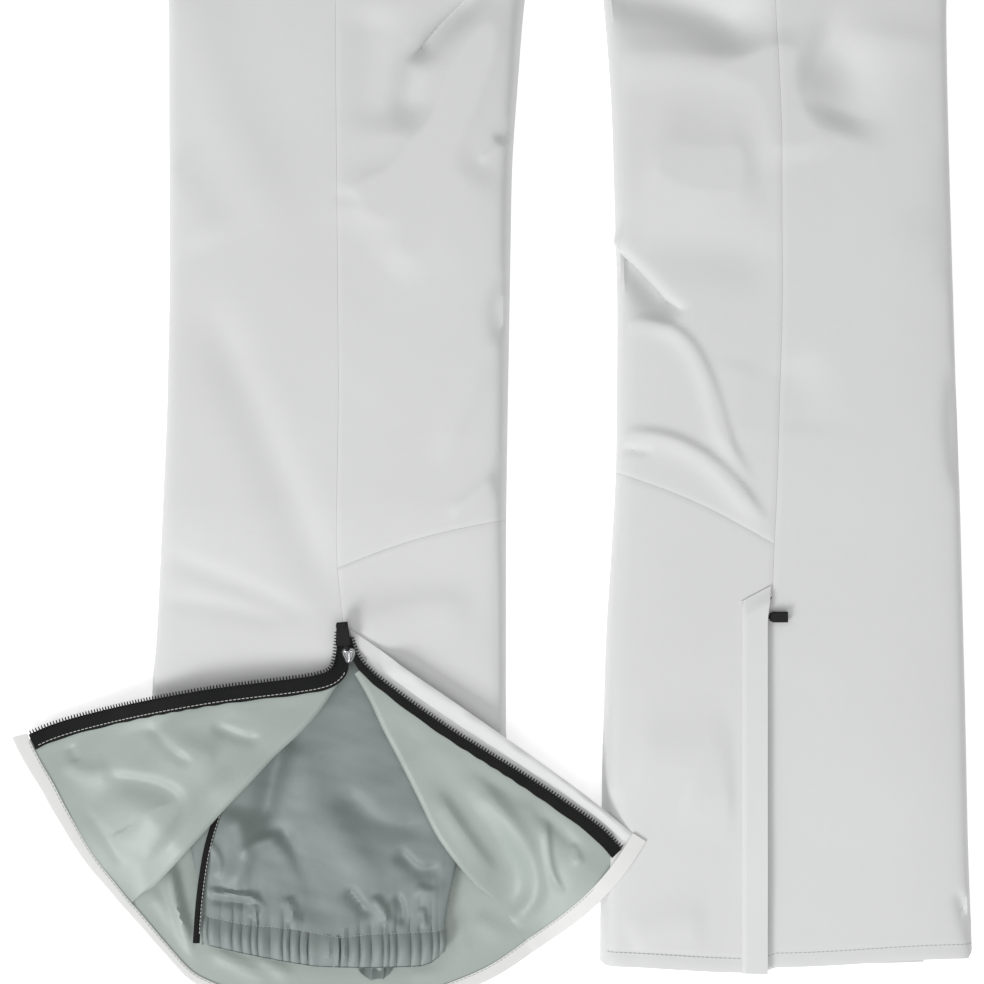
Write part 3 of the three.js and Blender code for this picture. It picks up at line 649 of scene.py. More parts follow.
def principled(name, color, roughness, **sockets):
    """A new material, kept by its name; further sockets are named with _ for each space."""
    material = bpy.data.materials.new(name)
    material.use_nodes = True
    shader = material.node_tree.nodes["Principled BSDF"]
    shader.inputs["Base Color"].default_value = (*color, 1)
    shader.inputs["Roughness"].default_value = roughness
    for socket, value in sockets.items():
        shader.inputs[socket.replace("_", " ")].default_value = value
    MATERIALS[name] = material
    return material.node_tree.nodes, material.node_tree.links, shader


def add_node(nodes, kind, **values):
    """A shader node with its sockets and settings given by name."""
    made = nodes.new(kind)
    for key, value in values.items():
        if key in made.inputs:
            made.inputs[key].default_value = value
        else:
            setattr(made, key, value)
    return made


def tinted(nodes, links, shader, coordinates, color, other, scale):
    """Base colour that drifts between two near tones."""
    noise = add_node(nodes, "ShaderNodeTexNoise", Scale=scale, Detail=3.0)
    links.new(coordinates.outputs["Object"], noise.inputs["Vector"])
    ramp = nodes.new("ShaderNodeValToRGB")
    ramp.color_ramp.elements[0].position = 0.32
    ramp.color_ramp.elements[0].color = (*color, 1)
    ramp.color_ramp.elements[1].position = 0.68
    ramp.color_ramp.elements[1].color = (*other, 1)
    links.new(noise.outputs["Fac"], ramp.inputs["Fac"])
    links.new(ramp.outputs["Color"], shader.inputs["Base Color"])


def weave(nodes, links, shader, coordinates, pitch, strength, crinkle_scale, crinkle):
    """Two crossed sets of threads, as a bump, over a fine crinkle."""
    scale = 1.0 / pitch / 3.2
    across = add_node(nodes, "ShaderNodeTexWave", bands_direction="X", Scale=scale, Distortion=0.6)
    down = add_node(nodes, "ShaderNodeTexWave", bands_direction="Y", Scale=scale, Distortion=0.6)
    both = add_node(nodes, "ShaderNodeMath", operation="MULTIPLY")
    bump = add_node(nodes, "ShaderNodeBump", Strength=strength, Distance=pitch * 0.25)
    links.new(coordinates.outputs["Object"], across.inputs["Vector"])
    links.new(coordinates.outputs["Object"], down.inputs["Vector"])
    links.new(across.outputs["Fac"], both.inputs[0])
    links.new(down.outputs["Fac"], both.inputs[1])
    links.new(both.outputs["Value"], bump.inputs["Height"])
    last = bump
    if crinkle:
        noise = add_node(nodes, "ShaderNodeTexNoise", Scale=crinkle_scale, Detail=5.0, Roughness=0.55)
        soft = add_node(nodes, "ShaderNodeBump", Strength=0.5, Distance=crinkle)
        links.new(coordinates.outputs["Object"], noise.inputs["Vector"])
        links.new(noise.outputs["Fac"], soft.inputs["Height"])
        links.new(bump.outputs["Normal"], soft.inputs["Normal"])
        last = soft
    links.new(last.outputs["Normal"], shader.inputs["Normal"])


def fabric(name, color, other, roughness, pitch, strength, drift, crinkle_scale=90.0, crinkle=0.0, **sockets):
    """Woven cloth: two near tones, its threads' pitch and depth, how fast the tone drifts, and a crinkle."""
    nodes, links, shader = principled(name, color, roughness, **sockets)
    coordinates = nodes.new("ShaderNodeTexCoord")
    tinted(nodes, links, shader, coordinates, color, other, drift)
    weave(nodes, links, shader, coordinates, pitch, strength, crinkle_scale, crinkle)


def moulded(name, color, roughness, grain, **sockets):
    """Plastic or plated metal with a fine grain in its gloss and surface."""
    nodes, links, shader = principled(name, color, roughness, **sockets)
    coordinates = nodes.new("ShaderNodeTexCoord")
    noise = add_node(nodes, "ShaderNodeTexNoise", Scale=grain, Detail=4.0)
    ramp = nodes.new("ShaderNodeMapRange")
    ramp.inputs["To Min"].default_value = roughness * 0.8
    ramp.inputs["To Max"].default_value = min(1.0, roughness * 1.25)
    bump = add_node(nodes, "ShaderNodeBump", Strength=0.12, Distance=0.0001)
    links.new(coordinates.outputs["Object"], noise.inputs["Vector"])
    links.new(noise.outputs["Fac"], ramp.inputs["Value"])
    links.new(ramp.outputs["Result"], shader.inputs["Roughness"])
    links.new(noise.outputs["Fac"], bump.inputs["Height"])
    links.new(bump.outputs["Normal"], shader.inputs["Normal"])


def make_materials():
    fabric("shell", (0.640, 0.646, 0.642), (0.656, 0.660, 0.660), 0.72, 0.0007, 0.22, 6.0, 160.0, 0.0002,
           Sheen_Weight=0.10, Specular_IOR_Level=0.35)
    fabric("lining", (0.318, 0.364, 0.338), (0.346, 0.392, 0.366), 0.46, 0.0004, 0.12, 14.0, 70.0, 0.0008,
           Sheen_Weight=0.15, Specular_IOR_Level=0.5)
    fabric("gaiter", (0.190, 0.226, 0.219), (0.214, 0.250, 0.242), 0.52, 0.0005, 0.18, 18.0, 80.0, 0.0008,
           Sheen_Weight=0.12, Specular_IOR_Level=0.45)
    fabric("facing", (0.690, 0.694, 0.680), (0.705, 0.708, 0.698), 0.80, 0.0006, 0.25, 20.0, 200.0, 0.0002)
    fabric("tape", (0.0095, 0.0100, 0.0100), (0.0125, 0.0130, 0.0125), 0.78, 0.0009, 0.6, 60.0,
           Specular_IOR_Level=0.12)
    fabric("elastic", (0.195, 0.228, 0.222), (0.218, 0.250, 0.243), 0.55, 0.0006, 0.25, 40.0, 120.0, 0.0005)
    fabric("thread_white", (0.70, 0.71, 0.70), (0.62, 0.63, 0.62), 0.7, 0.0003, 0.3, 300.0)
    fabric("thread_grey", (0.42, 0.45, 0.44), (0.36, 0.39, 0.38), 0.7, 0.0003, 0.3, 300.0)
    fabric("thread_black", (0.010, 0.010, 0.010), (0.02, 0.02, 0.02), 0.7, 0.0003, 0.3, 300.0)
    moulded("coil", (0.010, 0.010, 0.011), 0.42, 900.0, Specular_IOR_Level=0.2)
    moulded("pull_plastic", (0.007, 0.007, 0.0075), 0.45, 700.0, Specular_IOR_Level=0.2)
    moulded("bright_chrome", (0.75, 0.76, 0.77), 0.18, 500.0, Metallic=1.0)
    moulded("dark_chrome", (0.22, 0.225, 0.23), 0.22, 500.0, Metallic=1.0)


# ------------------------------------------------------------------ legs and hips


def hem_shift(x):
    """The right hem dips by its storm flap and rises towards the outer corner."""
    dip = mix(HEM_LOW_Y, 0.0, smooth((x - 0.130) / 0.012)) * smooth((x - 0.03) / 0.09)
    return dip + 0.0052 * smooth((x - 0.14) / 0.12)


def panel(name, leg, left, right, low, high, rows, node, columns=52, hem=False):
    """A front panel between two lines across the leg, its seam edges turned slightly under."""

    def surface(u, v):
        y = mix(low(u), high(u), v)
        x = leg.sign * mix(left(y), right(y), u)
        z = leg_height(leg, x, y)
        for fold in OVERLAPS:
            dx, dy = overlap(x, y, *fold)
            x, y = x + dx, y + dy
        width = np.maximum(right(y) - left(y), 0.001)
        at_side = np.exp(-((np.minimum(u, 1 - u) * width / TUCK_WIDTH) ** 2))
        at_end = np.exp(-((np.minimum(v, 1 - v) * (high(u) - low(u)) / TUCK_WIDTH) ** 2))
        z = z - TUCK_DEPTH * np.maximum(at_side, at_end)
        if hem:
            corner = np.clip(1 - y / 0.006, 0, 1) ** 2
            outer_side = smooth((np.abs(x) - 0.268) / 0.006)
            x = x - leg.sign * 0.003 * corner * outer_side
            z = z - 0.0004 * np.exp(-(((y - HEM_STITCH_Y) / 0.0009) ** 2))
            y = y + hem_shift(x) * np.exp(-y / 0.04)
        if leg.sign < 0:
            z = np.minimum(z, under_flap(x, y))
        return x, y, z

    piece = cloth(name, surface, columns, rows, SHELL_T, "shell")
    place(piece, "garment", "shell_fabric", node)


def under_flap(x, y):
    """Highest that the left front cloth may lie where a turned-back flap covers it."""
    angle, radius = to_polar(x, y)
    covered = (radius > 0.02) & (angle > outer_zip_angle(radius) - 6) & (angle < storm_edge_angle(radius) + 6)
    return np.where(covered, np.maximum(flap_height(x, y) - 0.0042, 0.0018), 1.0)


def calf_line(leg, u):
    """The diagonal seam below the knee, from the inner edge (u = 0) down to the centre seam."""
    inner, centre = (0.327, 0.280) if leg.sign > 0 else (0.296, 0.264)
    return mix(inner, centre, u) + 0.004 * np.sin(math.pi * u)


def right_front():
    """The right leg's three front panels; beside the zip the cloth edges stand apart."""
    def closing(y):
        return smooth((y - ZIP_TOP + 0.014) / 0.010)

    def outer_left(y):
        return mix(ZIP_X + SLOT_HALF, RIGHT.seam(y) + SEAM / 2, closing(y))

    def inner_right(y):
        return mix(ZIP_X - SLOT_HALF, RIGHT.seam(y) - SEAM / 2, closing(y))

    def seam_left(y):
        return RIGHT.seam(y) - SEAM / 2

    panel("shell_right_outer", RIGHT, outer_left, RIGHT.outer, level(0), level(YOKE_Y), 330,
          "right_front_outer_panel", hem=True)
    panel("shell_right_inner", RIGHT, RIGHT.inner, seam_left, lambda u: calf_line(RIGHT, u) + SEAM,
          level(YOKE_Y), 220, "right_front_inner_panel")
    panel("shell_right_scuff", RIGHT, RIGHT.inner, inner_right, level(0), lambda u: calf_line(RIGHT, u), 130,
          "right_scuff_panel", hem=True)


def left_front():
    """The left leg's three front panels; the lower two end under the turned-back flaps."""
    def seam_edge(gap):
        return lambda y: LEFT.seam(y) + gap

    def flap_root(side_y, notch):
        return lambda u: mix(side_y, APEX[1] + 0.013, u) - notch * np.exp(-(((u - 0.93) / 0.06) ** 2))

    panel("shell_left_outer", LEFT, LEFT.outer, seam_edge(SEAM / 2), flap_root(0.062, 0.018), level(YOKE_Y),
          290, "left_front_outer_panel")
    panel("shell_left_inner", LEFT, LEFT.inner, seam_edge(-SEAM / 2), lambda u: calf_line(LEFT, u) + SEAM,
          level(YOKE_Y), 220, "left_front_inner_panel")
    panel("shell_left_scuff", LEFT, LEFT.inner, seam_edge(-SEAM / 2), flap_root(0.052, 0.010),
          lambda u: calf_line(LEFT, u), 90, "left_scuff_panel")


def fly_edge(y):
    """The hip panels meet below the fly and stand apart beside its zip."""
    return mix(SEAM / 2, 0.005, smooth((y - FLY_Y) / 0.006))


def hips():
    """The front hip panels and the front waistband, with its two rows of stitches."""
    for leg in (RIGHT, LEFT):
        panel(f"shell_{leg.side}_hip", leg, fly_edge, leg.outer, level(YOKE_Y + SEAM), level(BAND_Y), 70,
              f"{leg.side}_hip_panel", columns=90)

        def band(u, v):
            y = mix(BAND_Y + SEAM, WAIST_Y, v)
            x = leg.sign * mix(SEAM / 2, leg.outer(y), u)
            rounded = 0.0008 * (1 - np.clip(np.minimum(v, 1 - v) / 0.08, 0, 1)) ** 2
            return x, y, leg_height(leg, x, y) - rounded

        piece = cloth(f"waistband_{leg.side}", band, 90, 24, BAND_T, "shell")
        place(piece, "garment", "shell_fabric", f"waistband_front_{leg.side}")
        for k, row_y in enumerate((BAND_Y + 0.003, WAIST_Y - 0.003)):
            def row(across):
                x = leg.sign * across
                return x, row_y, float(leg_height(leg, np.array(x), np.array(row_y))) + 0.0001

            stitches(f"waistband_stitch_{leg.side}_{k}", sampled(row, 0.004, 0.200), "garment")


def backs():
    """The flat back panels and their linings; the left leg's end follows the opened hem."""
    for leg in (RIGHT, LEFT):
        for part, inset, z, thick, look, slot in (
            ("panel", 0.0, BACK_T, BACK_T, "shell", "shell_fabric"),
            ("lining", 0.005, BACK_LINING_Z, LINING_T, "lining", "lining_taffeta"),
        ):
            def surface(u, v):
                top = BAND_Y - SEAM - (0.004 if inset else 0)
                if leg.sign > 0:
                    y = mix(inset, top, v)
                    x = mix(leg.inner(y) + inset, leg.outer(y) - inset, u)
                    return x, y + hem_shift(x) * np.exp(-y / 0.04), z + 0 * x
                angle = mix(OUTER_FOLD, INNER_FOLD, u)
                bottom_x, bottom_y = polar(angle, hem_radius(angle) - inset)
                y = mix(bottom_y, top, v)
                side = -mix(leg.outer(y) - inset, leg.inner(y) + inset, u)
                x = mix(bottom_x, side, smooth((y - bottom_y) / np.maximum(0.16 - bottom_y, 0.01)))
                return x, y, cavity_height(x, y) if part == "lining" else z + 0 * x

            piece = cloth(f"{leg.side}_back_{part}_cloth", surface, 90, 300, thick, look)
            place(piece, "garment", slot, f"{leg.side}_back_{part}")
    refined("waistband_back", "waistband_back_cloth", "garment", "shell_fabric", "shell", levels=2)


# ------------------------------------------------------------------ opened flaps

ROLL_SHARE = 0.10


def rolled(side, u, v, end_inset=0.0, drop=0.0, beyond=0.0):
    """A flap of the opened end, from the roll along its fold (the first ROLL_SHARE of u) to its zip edge.

    end_inset shortens it at the hem, drop lowers it, and beyond takes an inner flap that far past its zip.
    """
    roll = np.clip(u / ROLL_SHARE, 0, 1)
    flat = np.clip((u - ROLL_SHARE) / (1 - ROLL_SHARE), 0, 1)
    start = 0.017 if side == "outer" else 0.013
    guess = mix(start, HEM_R, v)
    if side == "outer":
        fold, far, towards = outer_fold_angle(guess), outer_zip_angle(guess) + np.degrees(0.004 / guess), 1
    else:
        fold, far, towards = inner_fold_angle(guess), inner_zip_angle(guess) + np.degrees(beyond / guess), -1
    angle = mix(fold, far, flat)
    radius = mix(start, hem_radius(angle) - end_inset, v)
    x, y = polar(angle, radius)
    z = flap_height(x, y)
    size = np.clip((z - BACK_LINING_Z - 0.0006) / 2, 0.0003, 0.0034)
    turn = math.pi * roll
    lean = towards * size * np.sin(turn) * 1.2
    a = np.radians(angle)
    return x + lean * np.cos(a), y + lean * np.sin(a), z - size * (1 + np.cos(turn)) - drop


def open_flaps():
    """Both turned-back flaps: the lining with its roll, and the shell under it."""
    for side, under_it in (("outer", "left_front_outer_panel"), ("inner", "left_scuff_panel")):
        def lining(u, v):
            return rolled(side, u, v, end_inset=0.0008)

        def shell(u, v):
            return rolled(side, mix(ROLL_SHARE, 1.0, u), v, drop=0.0009, beyond=0.0060)

        piece = cloth(f"lining_{side}_flap", lining, 130, 150, LINING_T, "lining")
        place(piece, "garment", "lining_taffeta", f"left_{side}_flap_lining")
        piece = cloth(f"shell_{side}_flap", shell, 90, 120, SHELL_T, "shell")
        place(piece, "garment", "shell_fabric", f"left_{side}_flap_shell")


def fan_surface(angle, radius):
    """Upper face of whatever lining lies at a polar place of the opened end."""
    x, y = polar(angle, radius)
    on_flap = np.maximum(smooth((OUTER_FOLD + 1 - angle) / 2.0), smooth((angle - INNER_FOLD + 1) / 2.0))
    return mix(cavity_height(x, y), flap_height(x, y), on_flap)


def facing():
    """The white band round the whole opened hem, turned over its edge, and the right hem's own."""
    width = profile((-76, 0.0100), (-60, 0.0080), (-45, 0.0058), (-30, 0.0050), (0, 0.0070), (30, 0.0085),
                    (58, 0.0100), blur=4.0, step=0.25, low=-95, high=95)
    turn_share = 0.2
    lining_in = 0.004

    def surface(u, v):
        angle = mix(OUTER_HEM - 0.4, INNER_HEM + 1.0, u)
        edge = hem_radius(angle)
        turn = np.clip(v / turn_share, 0, 1)
        flat = np.clip((v - turn_share) / (1 - turn_share), 0, 1)
        radius = edge + 0.0008 * np.sin(math.pi * (0.5 + turn / 2)) - width(angle) * flat
        x, y = polar(angle, radius)
        z = fan_surface(angle, edge - lining_in) + 0.0011 - 0.0024 * (1 - turn) ** 2 - 0.0003 * flat**3
        z = z + 0.0042 * smooth((angle - 45.0) / 10.0)
        return x, y, np.maximum(z, 0.0012)

    def stitch_line(angle):
        edge = hem_radius(angle)
        x, y = polar(angle, edge - width(angle) + 0.0010)
        return float(x), float(y), float(fan_surface(np.array(angle), edge - lining_in)) + 0.0010

    piece = cloth("hem_facing_open", surface, 260, 14, FACING_T, "facing")
    place(piece, "garment", "hem_facing", "left_hem_facing")
    stitches("facing_stitch", sampled(stitch_line, OUTER_HEM + 1, INNER_HEM - 1, 300), "garment",
             "thread_grey")
    refined("right_hem_facing", "right_hem_facing_cloth", "garment", "hem_facing", "facing")


# ------------------------------------------------------------------ gaiters and cuffs

GAITER_FOLDS = fold_table(
    ([(-180, 168), (-190, 138), (-200, 96), (-206, 80)], 10, -6.8, 0.7),
    ([(-196, 98), (-184, 84), (-176, 56), (-158, 24)], 7.5, -3.4, 0.8),
    ([(-222, 106), (-214, 82), (-214, 62), (-224, 46)], 7.5, 3.8, 0.9),
    ([(-216, 72), (-202, 82), (-186, 84)], 5.5, 3, 0.8),
    ([(-190, 84), (-176, 56), (-166, 34)], 6, 3, 0.8),
    ([(-242, 50), (-226, 47), (-206, 46), (-198, 36)], 3.6, 3, 0.5),
    ([(-242, 44), (-224, 41), (-206, 40)], 3, -2.2, 0.7),
    ([(-238, 82), (-228, 70), (-230, 56)], 4, 1.8, 0.7),
    ([(-172, 150), (-168, 112), (-150, 86), (-118, 50)], 13, 3.4, 0.8),
    ([(-150, 120), (-128, 96), (-104, 90), (-88, 96)], 9, -2.8, 0.7),
    ([(-112, 78), (-96, 60), (-80, 66)], 6, -3, 0.6),
    ([(-100, 52), (-86, 46), (-74, 56)], 5, 2.2, 0.6),
    ([(-146, 52), (-138, 44), (-128, 30)], 5.5, -3.6, 0.5),
    ([(-128, 46), (-120, 38), (-116, 26)], 4, 2.8, 0.6),
    ([(-112, 48), (-106, 36), (-108, 24)], 4, -2.6, 0.6),
    ([(-184, 46), (-180, 34), (-176, 24)], 4, 2.4, 0.6),
    ([(-204, 40), (-206, 30)], 3, 2, 0.6),
    ([(-94, 38), (-92, 24)], 3, 1.8, 0.6),
)


def flat_loop(u, half, height, power=3.2):
    """A flattened loop: u = 0 at its right end, 0.25 at the top middle. Gives offsets across and up."""
    turn = 2 * math.pi * u
    c, s = np.cos(turn), np.sin(turn)
    return half * np.sign(c) * np.abs(c) ** (2 / power), height * np.sign(s) * np.abs(s) ** (2 / power)


cuff_upper = profile((-0.090, 0.036), (-0.081, 0.033), (-0.052, 0.0275), (-0.020, 0.0245), (0.004, 0.020),
                     (0.012, 0.0185), (0.030, 0.021), (0.078, 0.0225), (0.090, 0.022),
                     blur=0.008, low=-0.4, high=0.4)
cuff_lower = profile((-0.090, 0.014), (-0.083, 0.013), (-0.055, 0.007), (-0.030, 0.002), (-0.005, -0.002),
                     (0.030, -0.003), (0.066, -0.002), (0.074, 0.001), (0.080, 0.008), (0.090, 0.010),
                     blur=0.006, low=-0.4, high=0.4)


def cuff_top(x, middle):
    """The cuff's upper edge, higher at its left end; in the closed leg the cuff sits further inside."""
    return cuff_upper(x - middle) + (CUFF_INSIDE if middle > 0 else 0.0)


def cuff_bottom(x, middle):
    return cuff_lower(x - middle) + (CUFF_INSIDE if middle > 0 else 0.0)


def gathers(x):
    """Uneven vertical pleats of an elastic cuff, from 0 to 1."""
    draws = np.random.default_rng(CUFF_SEED)
    phase = x * 2 * math.pi / 0.0066
    phase = phase + 1.5 * np.sin(x * 2 * math.pi / 0.031 + draws.uniform(0, 6))
    phase = phase + 0.9 * np.sin(x * 2 * math.pi / 0.0173 + draws.uniform(0, 6))
    return np.abs(np.cos(phase / 2)) ** 0.6


def gaiter_pair():
    """Both snow gaiters with their elastic cuffs. A gaiter's folds are mirrored in the closed leg."""
    for side, middle in (("right", 0.150), ("left", -0.160)):
        low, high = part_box(f"{side}_gaiter")
        tall = (high.z - low.z) / 2
        centre_z = (high.z + low.z) / 2
        gaiter(side, middle, tall, centre_z)
        cuff(side, middle, tall * CUFF_TALL, centre_z)
        cuff_stitches(side, middle, tall * CUFF_TALL, centre_z)


def gaiter(side, middle, tall, centre_z):
    """The flattened tube of thin cloth above the cuff."""
    def tube(u, v):
        half = mix(CUFF_HALF, 0.0905, smooth(v / 0.35)) - 0.004 * smooth((v - 0.6) / 0.4)
        across, up = flat_loop(u, half, tall)
        x = middle + across
        y = mix(cuff_top(x, middle) - 0.001, GAITER_TOP, v)
        mirrored = x if side == "left" else -x - 0.01
        folds = sum(crease(mirrored, y, *fold) for fold in GAITER_FOLDS)
        pleats = (gathers(x) - 0.6) * 0.0026 * np.exp(-v / 0.07)
        folds = 1.35 * folds + pleats + ripple(x, y, 0.030, 0.0012, 41) + ripple(x, y, 0.012, 0.0003, 42)
        on_top = smooth(up / tall) * smooth((half - np.abs(across)) / 0.012)
        return x, y, centre_z + up + folds * on_top

    piece = cloth(f"gaiter_{side}_cloth", tube, 300, 140, LINING_T, "gaiter", wrap=True)
    place(piece, "garment", "gaiter_nylon", f"{side}_gaiter")


def cuff(side, middle, tall, centre_z):
    """The gathered elastic band, with a short tail under its lower edge in the opened leg."""
    def band(u, v):
        across, up = flat_loop(u, CUFF_HALF, tall, 3.0)
        x = middle + across
        tail = 0.0095 * np.exp(-(((x + 0.1255) / 0.011) ** 4)) * (up < 0)
        y = mix(cuff_bottom(x, middle) - tail, cuff_top(x, middle), v)
        y = y + 0.0010 * (gathers(x) - 0.5) * (1 - v)
        pleat = gathers(x) * (0.45 + 0.55 * np.sin(math.pi * v))
        swollen = 0.0014 * np.sin(math.pi * v) + 0.0036 * (pleat - 0.6)
        return x + np.sign(across) * 0.0006 * np.sin(math.pi * v), y, centre_z + up + np.sign(up) * swollen

    piece = cloth(f"cuff_{side}_cloth", band, 620, 22, ELASTIC_T, "elastic", wrap=True)
    place(piece, "garment", "gaiter_elastic", f"{side}_gaiter_cuff")


def cuff_stitches(side, middle, tall, centre_z):
    """A row of stitches along the cuff's upper edge and dark serging along its lower edge."""
    def row(inset, lift):
        def point(x):
            share = np.clip(abs(x - middle) / CUFF_HALF, 0, 1)
            up = tall * (1 - share**3.0) ** (1 / 3.0)
            pleat = 0.0012 * (float(gathers(np.array(x))) - 0.6)
            top = float(cuff_top(np.array(x), middle))
            bottom = float(cuff_bottom(np.array(x), middle))
            return x, max(top - inset, bottom + 0.0004), centre_z + up + pleat + lift
        return point

    stitches(f"cuff_{side}_top_stitch", sampled(row(0.0012, 0.0008), middle - 0.077, middle + 0.077, 260),
             "garment", "thread_grey", 0.0026)
    stitches(f"cuff_{side}_serging", sampled(row(0.0250, 0.0002), middle - 0.076, middle + 0.076, 260),
             "garment", "thread_black", 0.0016)


binding_line = profile((0.010, -0.2445), (0.040, -0.2425), (0.060, -0.2400), (0.080, -0.2365),
                       (0.100, -0.2300), (0.120, -0.222), blur=0.02)


def gaiter_binding():
    """The black bound edge with a light line, down the left side of the open leg's gaiter."""
    def strip(u, v):
        y = mix(0.014, 0.108, v)
        x = binding_line(y) + mix(-0.0026, 0.0020, u)
        return x, y, 0.0152 + 0.0008 * np.sin(math.pi * u) + 0 * y

    def light_line(y):
        return float(binding_line(y)) + 0.0015, y, 0.0160

    piece = cloth("gaiter_binding", strip, 6, 60, BINDING_T, "tape")
    place(piece, "garment", "zip_tape")
    stitches("gaiter_binding_stitch", sampled(light_line, 0.020, 0.106, 60), "garment", pitch=0.0026)


# ------------------------------------------------------------------ zips


OUTER_ZIP = metres((-148.8, 223), (-149.6, 214), (-151, 204), (-153.2, 197.5), (-160, 194.6),
                   (-172, 192.3), (-200, 189), (-225, 186), (-250, 182), (-275, 177), (-300, 171),
                   (-330, 163), (-345, 158), (-357, 152.5))
INNER_ZIP = metres((-140.5, 219), (-138.5, 211), (-134.5, 203.5), (-128, 196.5), (-120, 190),
                   (-100, 175), (-75, 157.5), (-50, 142), (-25, 126.5), (0, 110), (25, 92.5), (38.5, 78))
STORM_EDGE = metres((-141, 224), (-137.5, 221.5), (-125, 213), (-100, 195), (-75, 178), (-50, 160.5),
                    (-25, 143), (0, 125), (25, 106), (47.5, 87))


def along(line, turn):
    """The place and the sideways direction at each share of a smooth curve's length."""
    points = np.array(curved(line))
    at = np.concatenate([[0], np.cumsum(np.linalg.norm(np.diff(points, axis=0), axis=1))])
    at = at / at[-1]
    window = 0.006                 # share of the length on each side that a direction is taken over

    def place_at(t):
        return float(np.interp(t, at, points[:, 0])), float(np.interp(t, at, points[:, 1]))

    def way_at(t):
        ax, ay = place_at(max(0.0, t - window))
        bx, by = place_at(min(1.0, t + window))
        length = math.hypot(bx - ax, by - ay)
        return -turn * (by - ay) / length, turn * (bx - ax) / length

    return place_at, way_at


def zip_half(name, path, out, tape_width, node):
    """A zip half: woven tape, and teeth along one edge. path gives the edge's points, out the way across."""
    rows = 240

    def tape(u, v):
        points = np.array([path(t) for t in v[:, 0]])
        ways = np.array([out(t) for t in v[:, 0]])
        widths = np.array([tape_width(t) for t in v[:, 0]])
        offset = u * widths[:, None]
        x = points[:, :1] + ways[:, :1] * offset
        y = points[:, 1:2] + ways[:, 1:2] * offset
        wave = 0.00025 * np.sin(v * 90 + 4 * np.sin(v * 11)) * u
        return x, y + wave, points[:, 2:3] + 0 * u - 0.0003 * u

    place(cloth(f"{name}_tape", tape, 12, rows, TAPE_T, "tape"), "garment", "zip_tape", node)
    shares = np.linspace(0, 1, rows)
    world = np.array([path(t) for t in shares]) + (MID_X, HEM_Y, 0)
    ways = np.array([out(t) for t in shares])
    toothed = world + np.concatenate([-0.0004 * ways, np.full((rows, 1), 0.0006)], axis=1)
    teeth(name, toothed, 0.0021, (0.0038, 0.0010, 0.0012))


def teeth(name, world, pitch, size):
    """A row of small teeth, each lying across a line of points."""
    spots, forward = along_path(world, pitch)
    sideways = np.stack([-forward[:, 1], forward[:, 0], 0 * forward[:, 0]], -1)
    shape, quads = bead(*size)
    place(repeated(f"{name}_teeth", spots, sideways, shape, quads, "coil"), "garment", "zip_tape")


def tape_height(x, y):
    return float(flap_height(np.array(x), np.array(y))) + 0.0016


def left_zips():
    """The two halves of the opened boot zip, along the edges of the turned-back flaps."""
    outer_at, outer_way = along(OUTER_ZIP, 1)
    inner_at, inner_way = along(INNER_ZIP, -1)
    inner_width = profile((0, 0.0034), (0.1, 0.0050), (0.3, 0.0060), (0.6, 0.0066), (1, 0.0086), blur=0.05)

    def outer_path(t):
        x, y = outer_at(t)
        return x, y, tape_height(x, y)

    def inner_path(t):
        x, y = inner_at(t)
        return x, y, tape_height(x, y) + 0.0002

    def outer_width(t):
        return 0.0042 + 0.0068 * float(smooth(t / 0.12))

    zip_half("left_zip_outer", outer_path, outer_way, outer_width, "left_zip_half_outer")
    zip_half("left_zip_inner", inner_path, inner_way, lambda t: float(inner_width(t)), "left_zip_half_inner")
    row = sampled(lambda t: edge_line(outer_path, outer_way, t, 0.0090), 0.10, 0.99, 240)
    stitches("left_zip_outer_stitch", row, "garment", pitch=0.0028)


def edge_line(path, way, t, offset):
    """A point on a zip tape, offset across it from its toothed edge."""
    x, y, z = path(t)
    wx, wy = way(t)
    return x + wx * offset, y + wy * offset, z + 0.0001


def right_zips():
    """The two halves of the closed boot zip, under the right storm flap."""
    for side, sign in (("inner", -1), ("outer", 1)):
        tape_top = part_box(f"right_zip_half_{side}")[0].z + 0.001
        edge = ZIP_X + sign * 0.0020
        zip_half(f"right_zip_{side}", lambda t: (edge, mix(0.009, ZIP_TOP - 0.003, t), tape_top),
                 lambda t: (sign, 0.0), lambda t: 0.0115, f"right_zip_half_{side}")


def closed_chains():
    """Fly and pocket zips, shut: the CAD strip refined, with a row of teeth along its ridge."""
    refined("fly_zip", "fly_zip_tape", "garment", "zip_tape", "tape", levels=0)
    lines = [("fly", 1, (0.0, 0.868), (0.0, 1.012))]
    for leg in (RIGHT, LEFT):
        name = f"{leg.side}_pocket"
        refined(f"{name}_zip", f"{name}_zip_tape", "garment", "zip_tape", "tape", levels=0)
        lines.append((name, leg.sign, POCKET_BOTTOM, POCKET_TOP))
    for name, sign, start, end in lines:
        def point(t):
            across, y = mix(start[0], end[0], t), mix(start[1], end[1], t)
            z = FLY_ZIP_Z if name == "fly" else cad_hip_height(across, y) + 0.0026
            return sign * across, y, z

        world = sampled(point, 0.01, 0.99, 60) + (MID_X, HEM_Y, 0)
        teeth(f"{name}_zip", world, 0.0014, (0.0040, 0.0008, 0.0010))


def cad_hip_height(across, y):
    """The plain crown that the hip hardware was set out on."""
    share = min(1.0, across / float(RIGHT.outer(y)))
    return HIP_EDGE_Z + (CROWN_Z - HIP_EDGE_Z) * (1 - share**HIP_POWER)


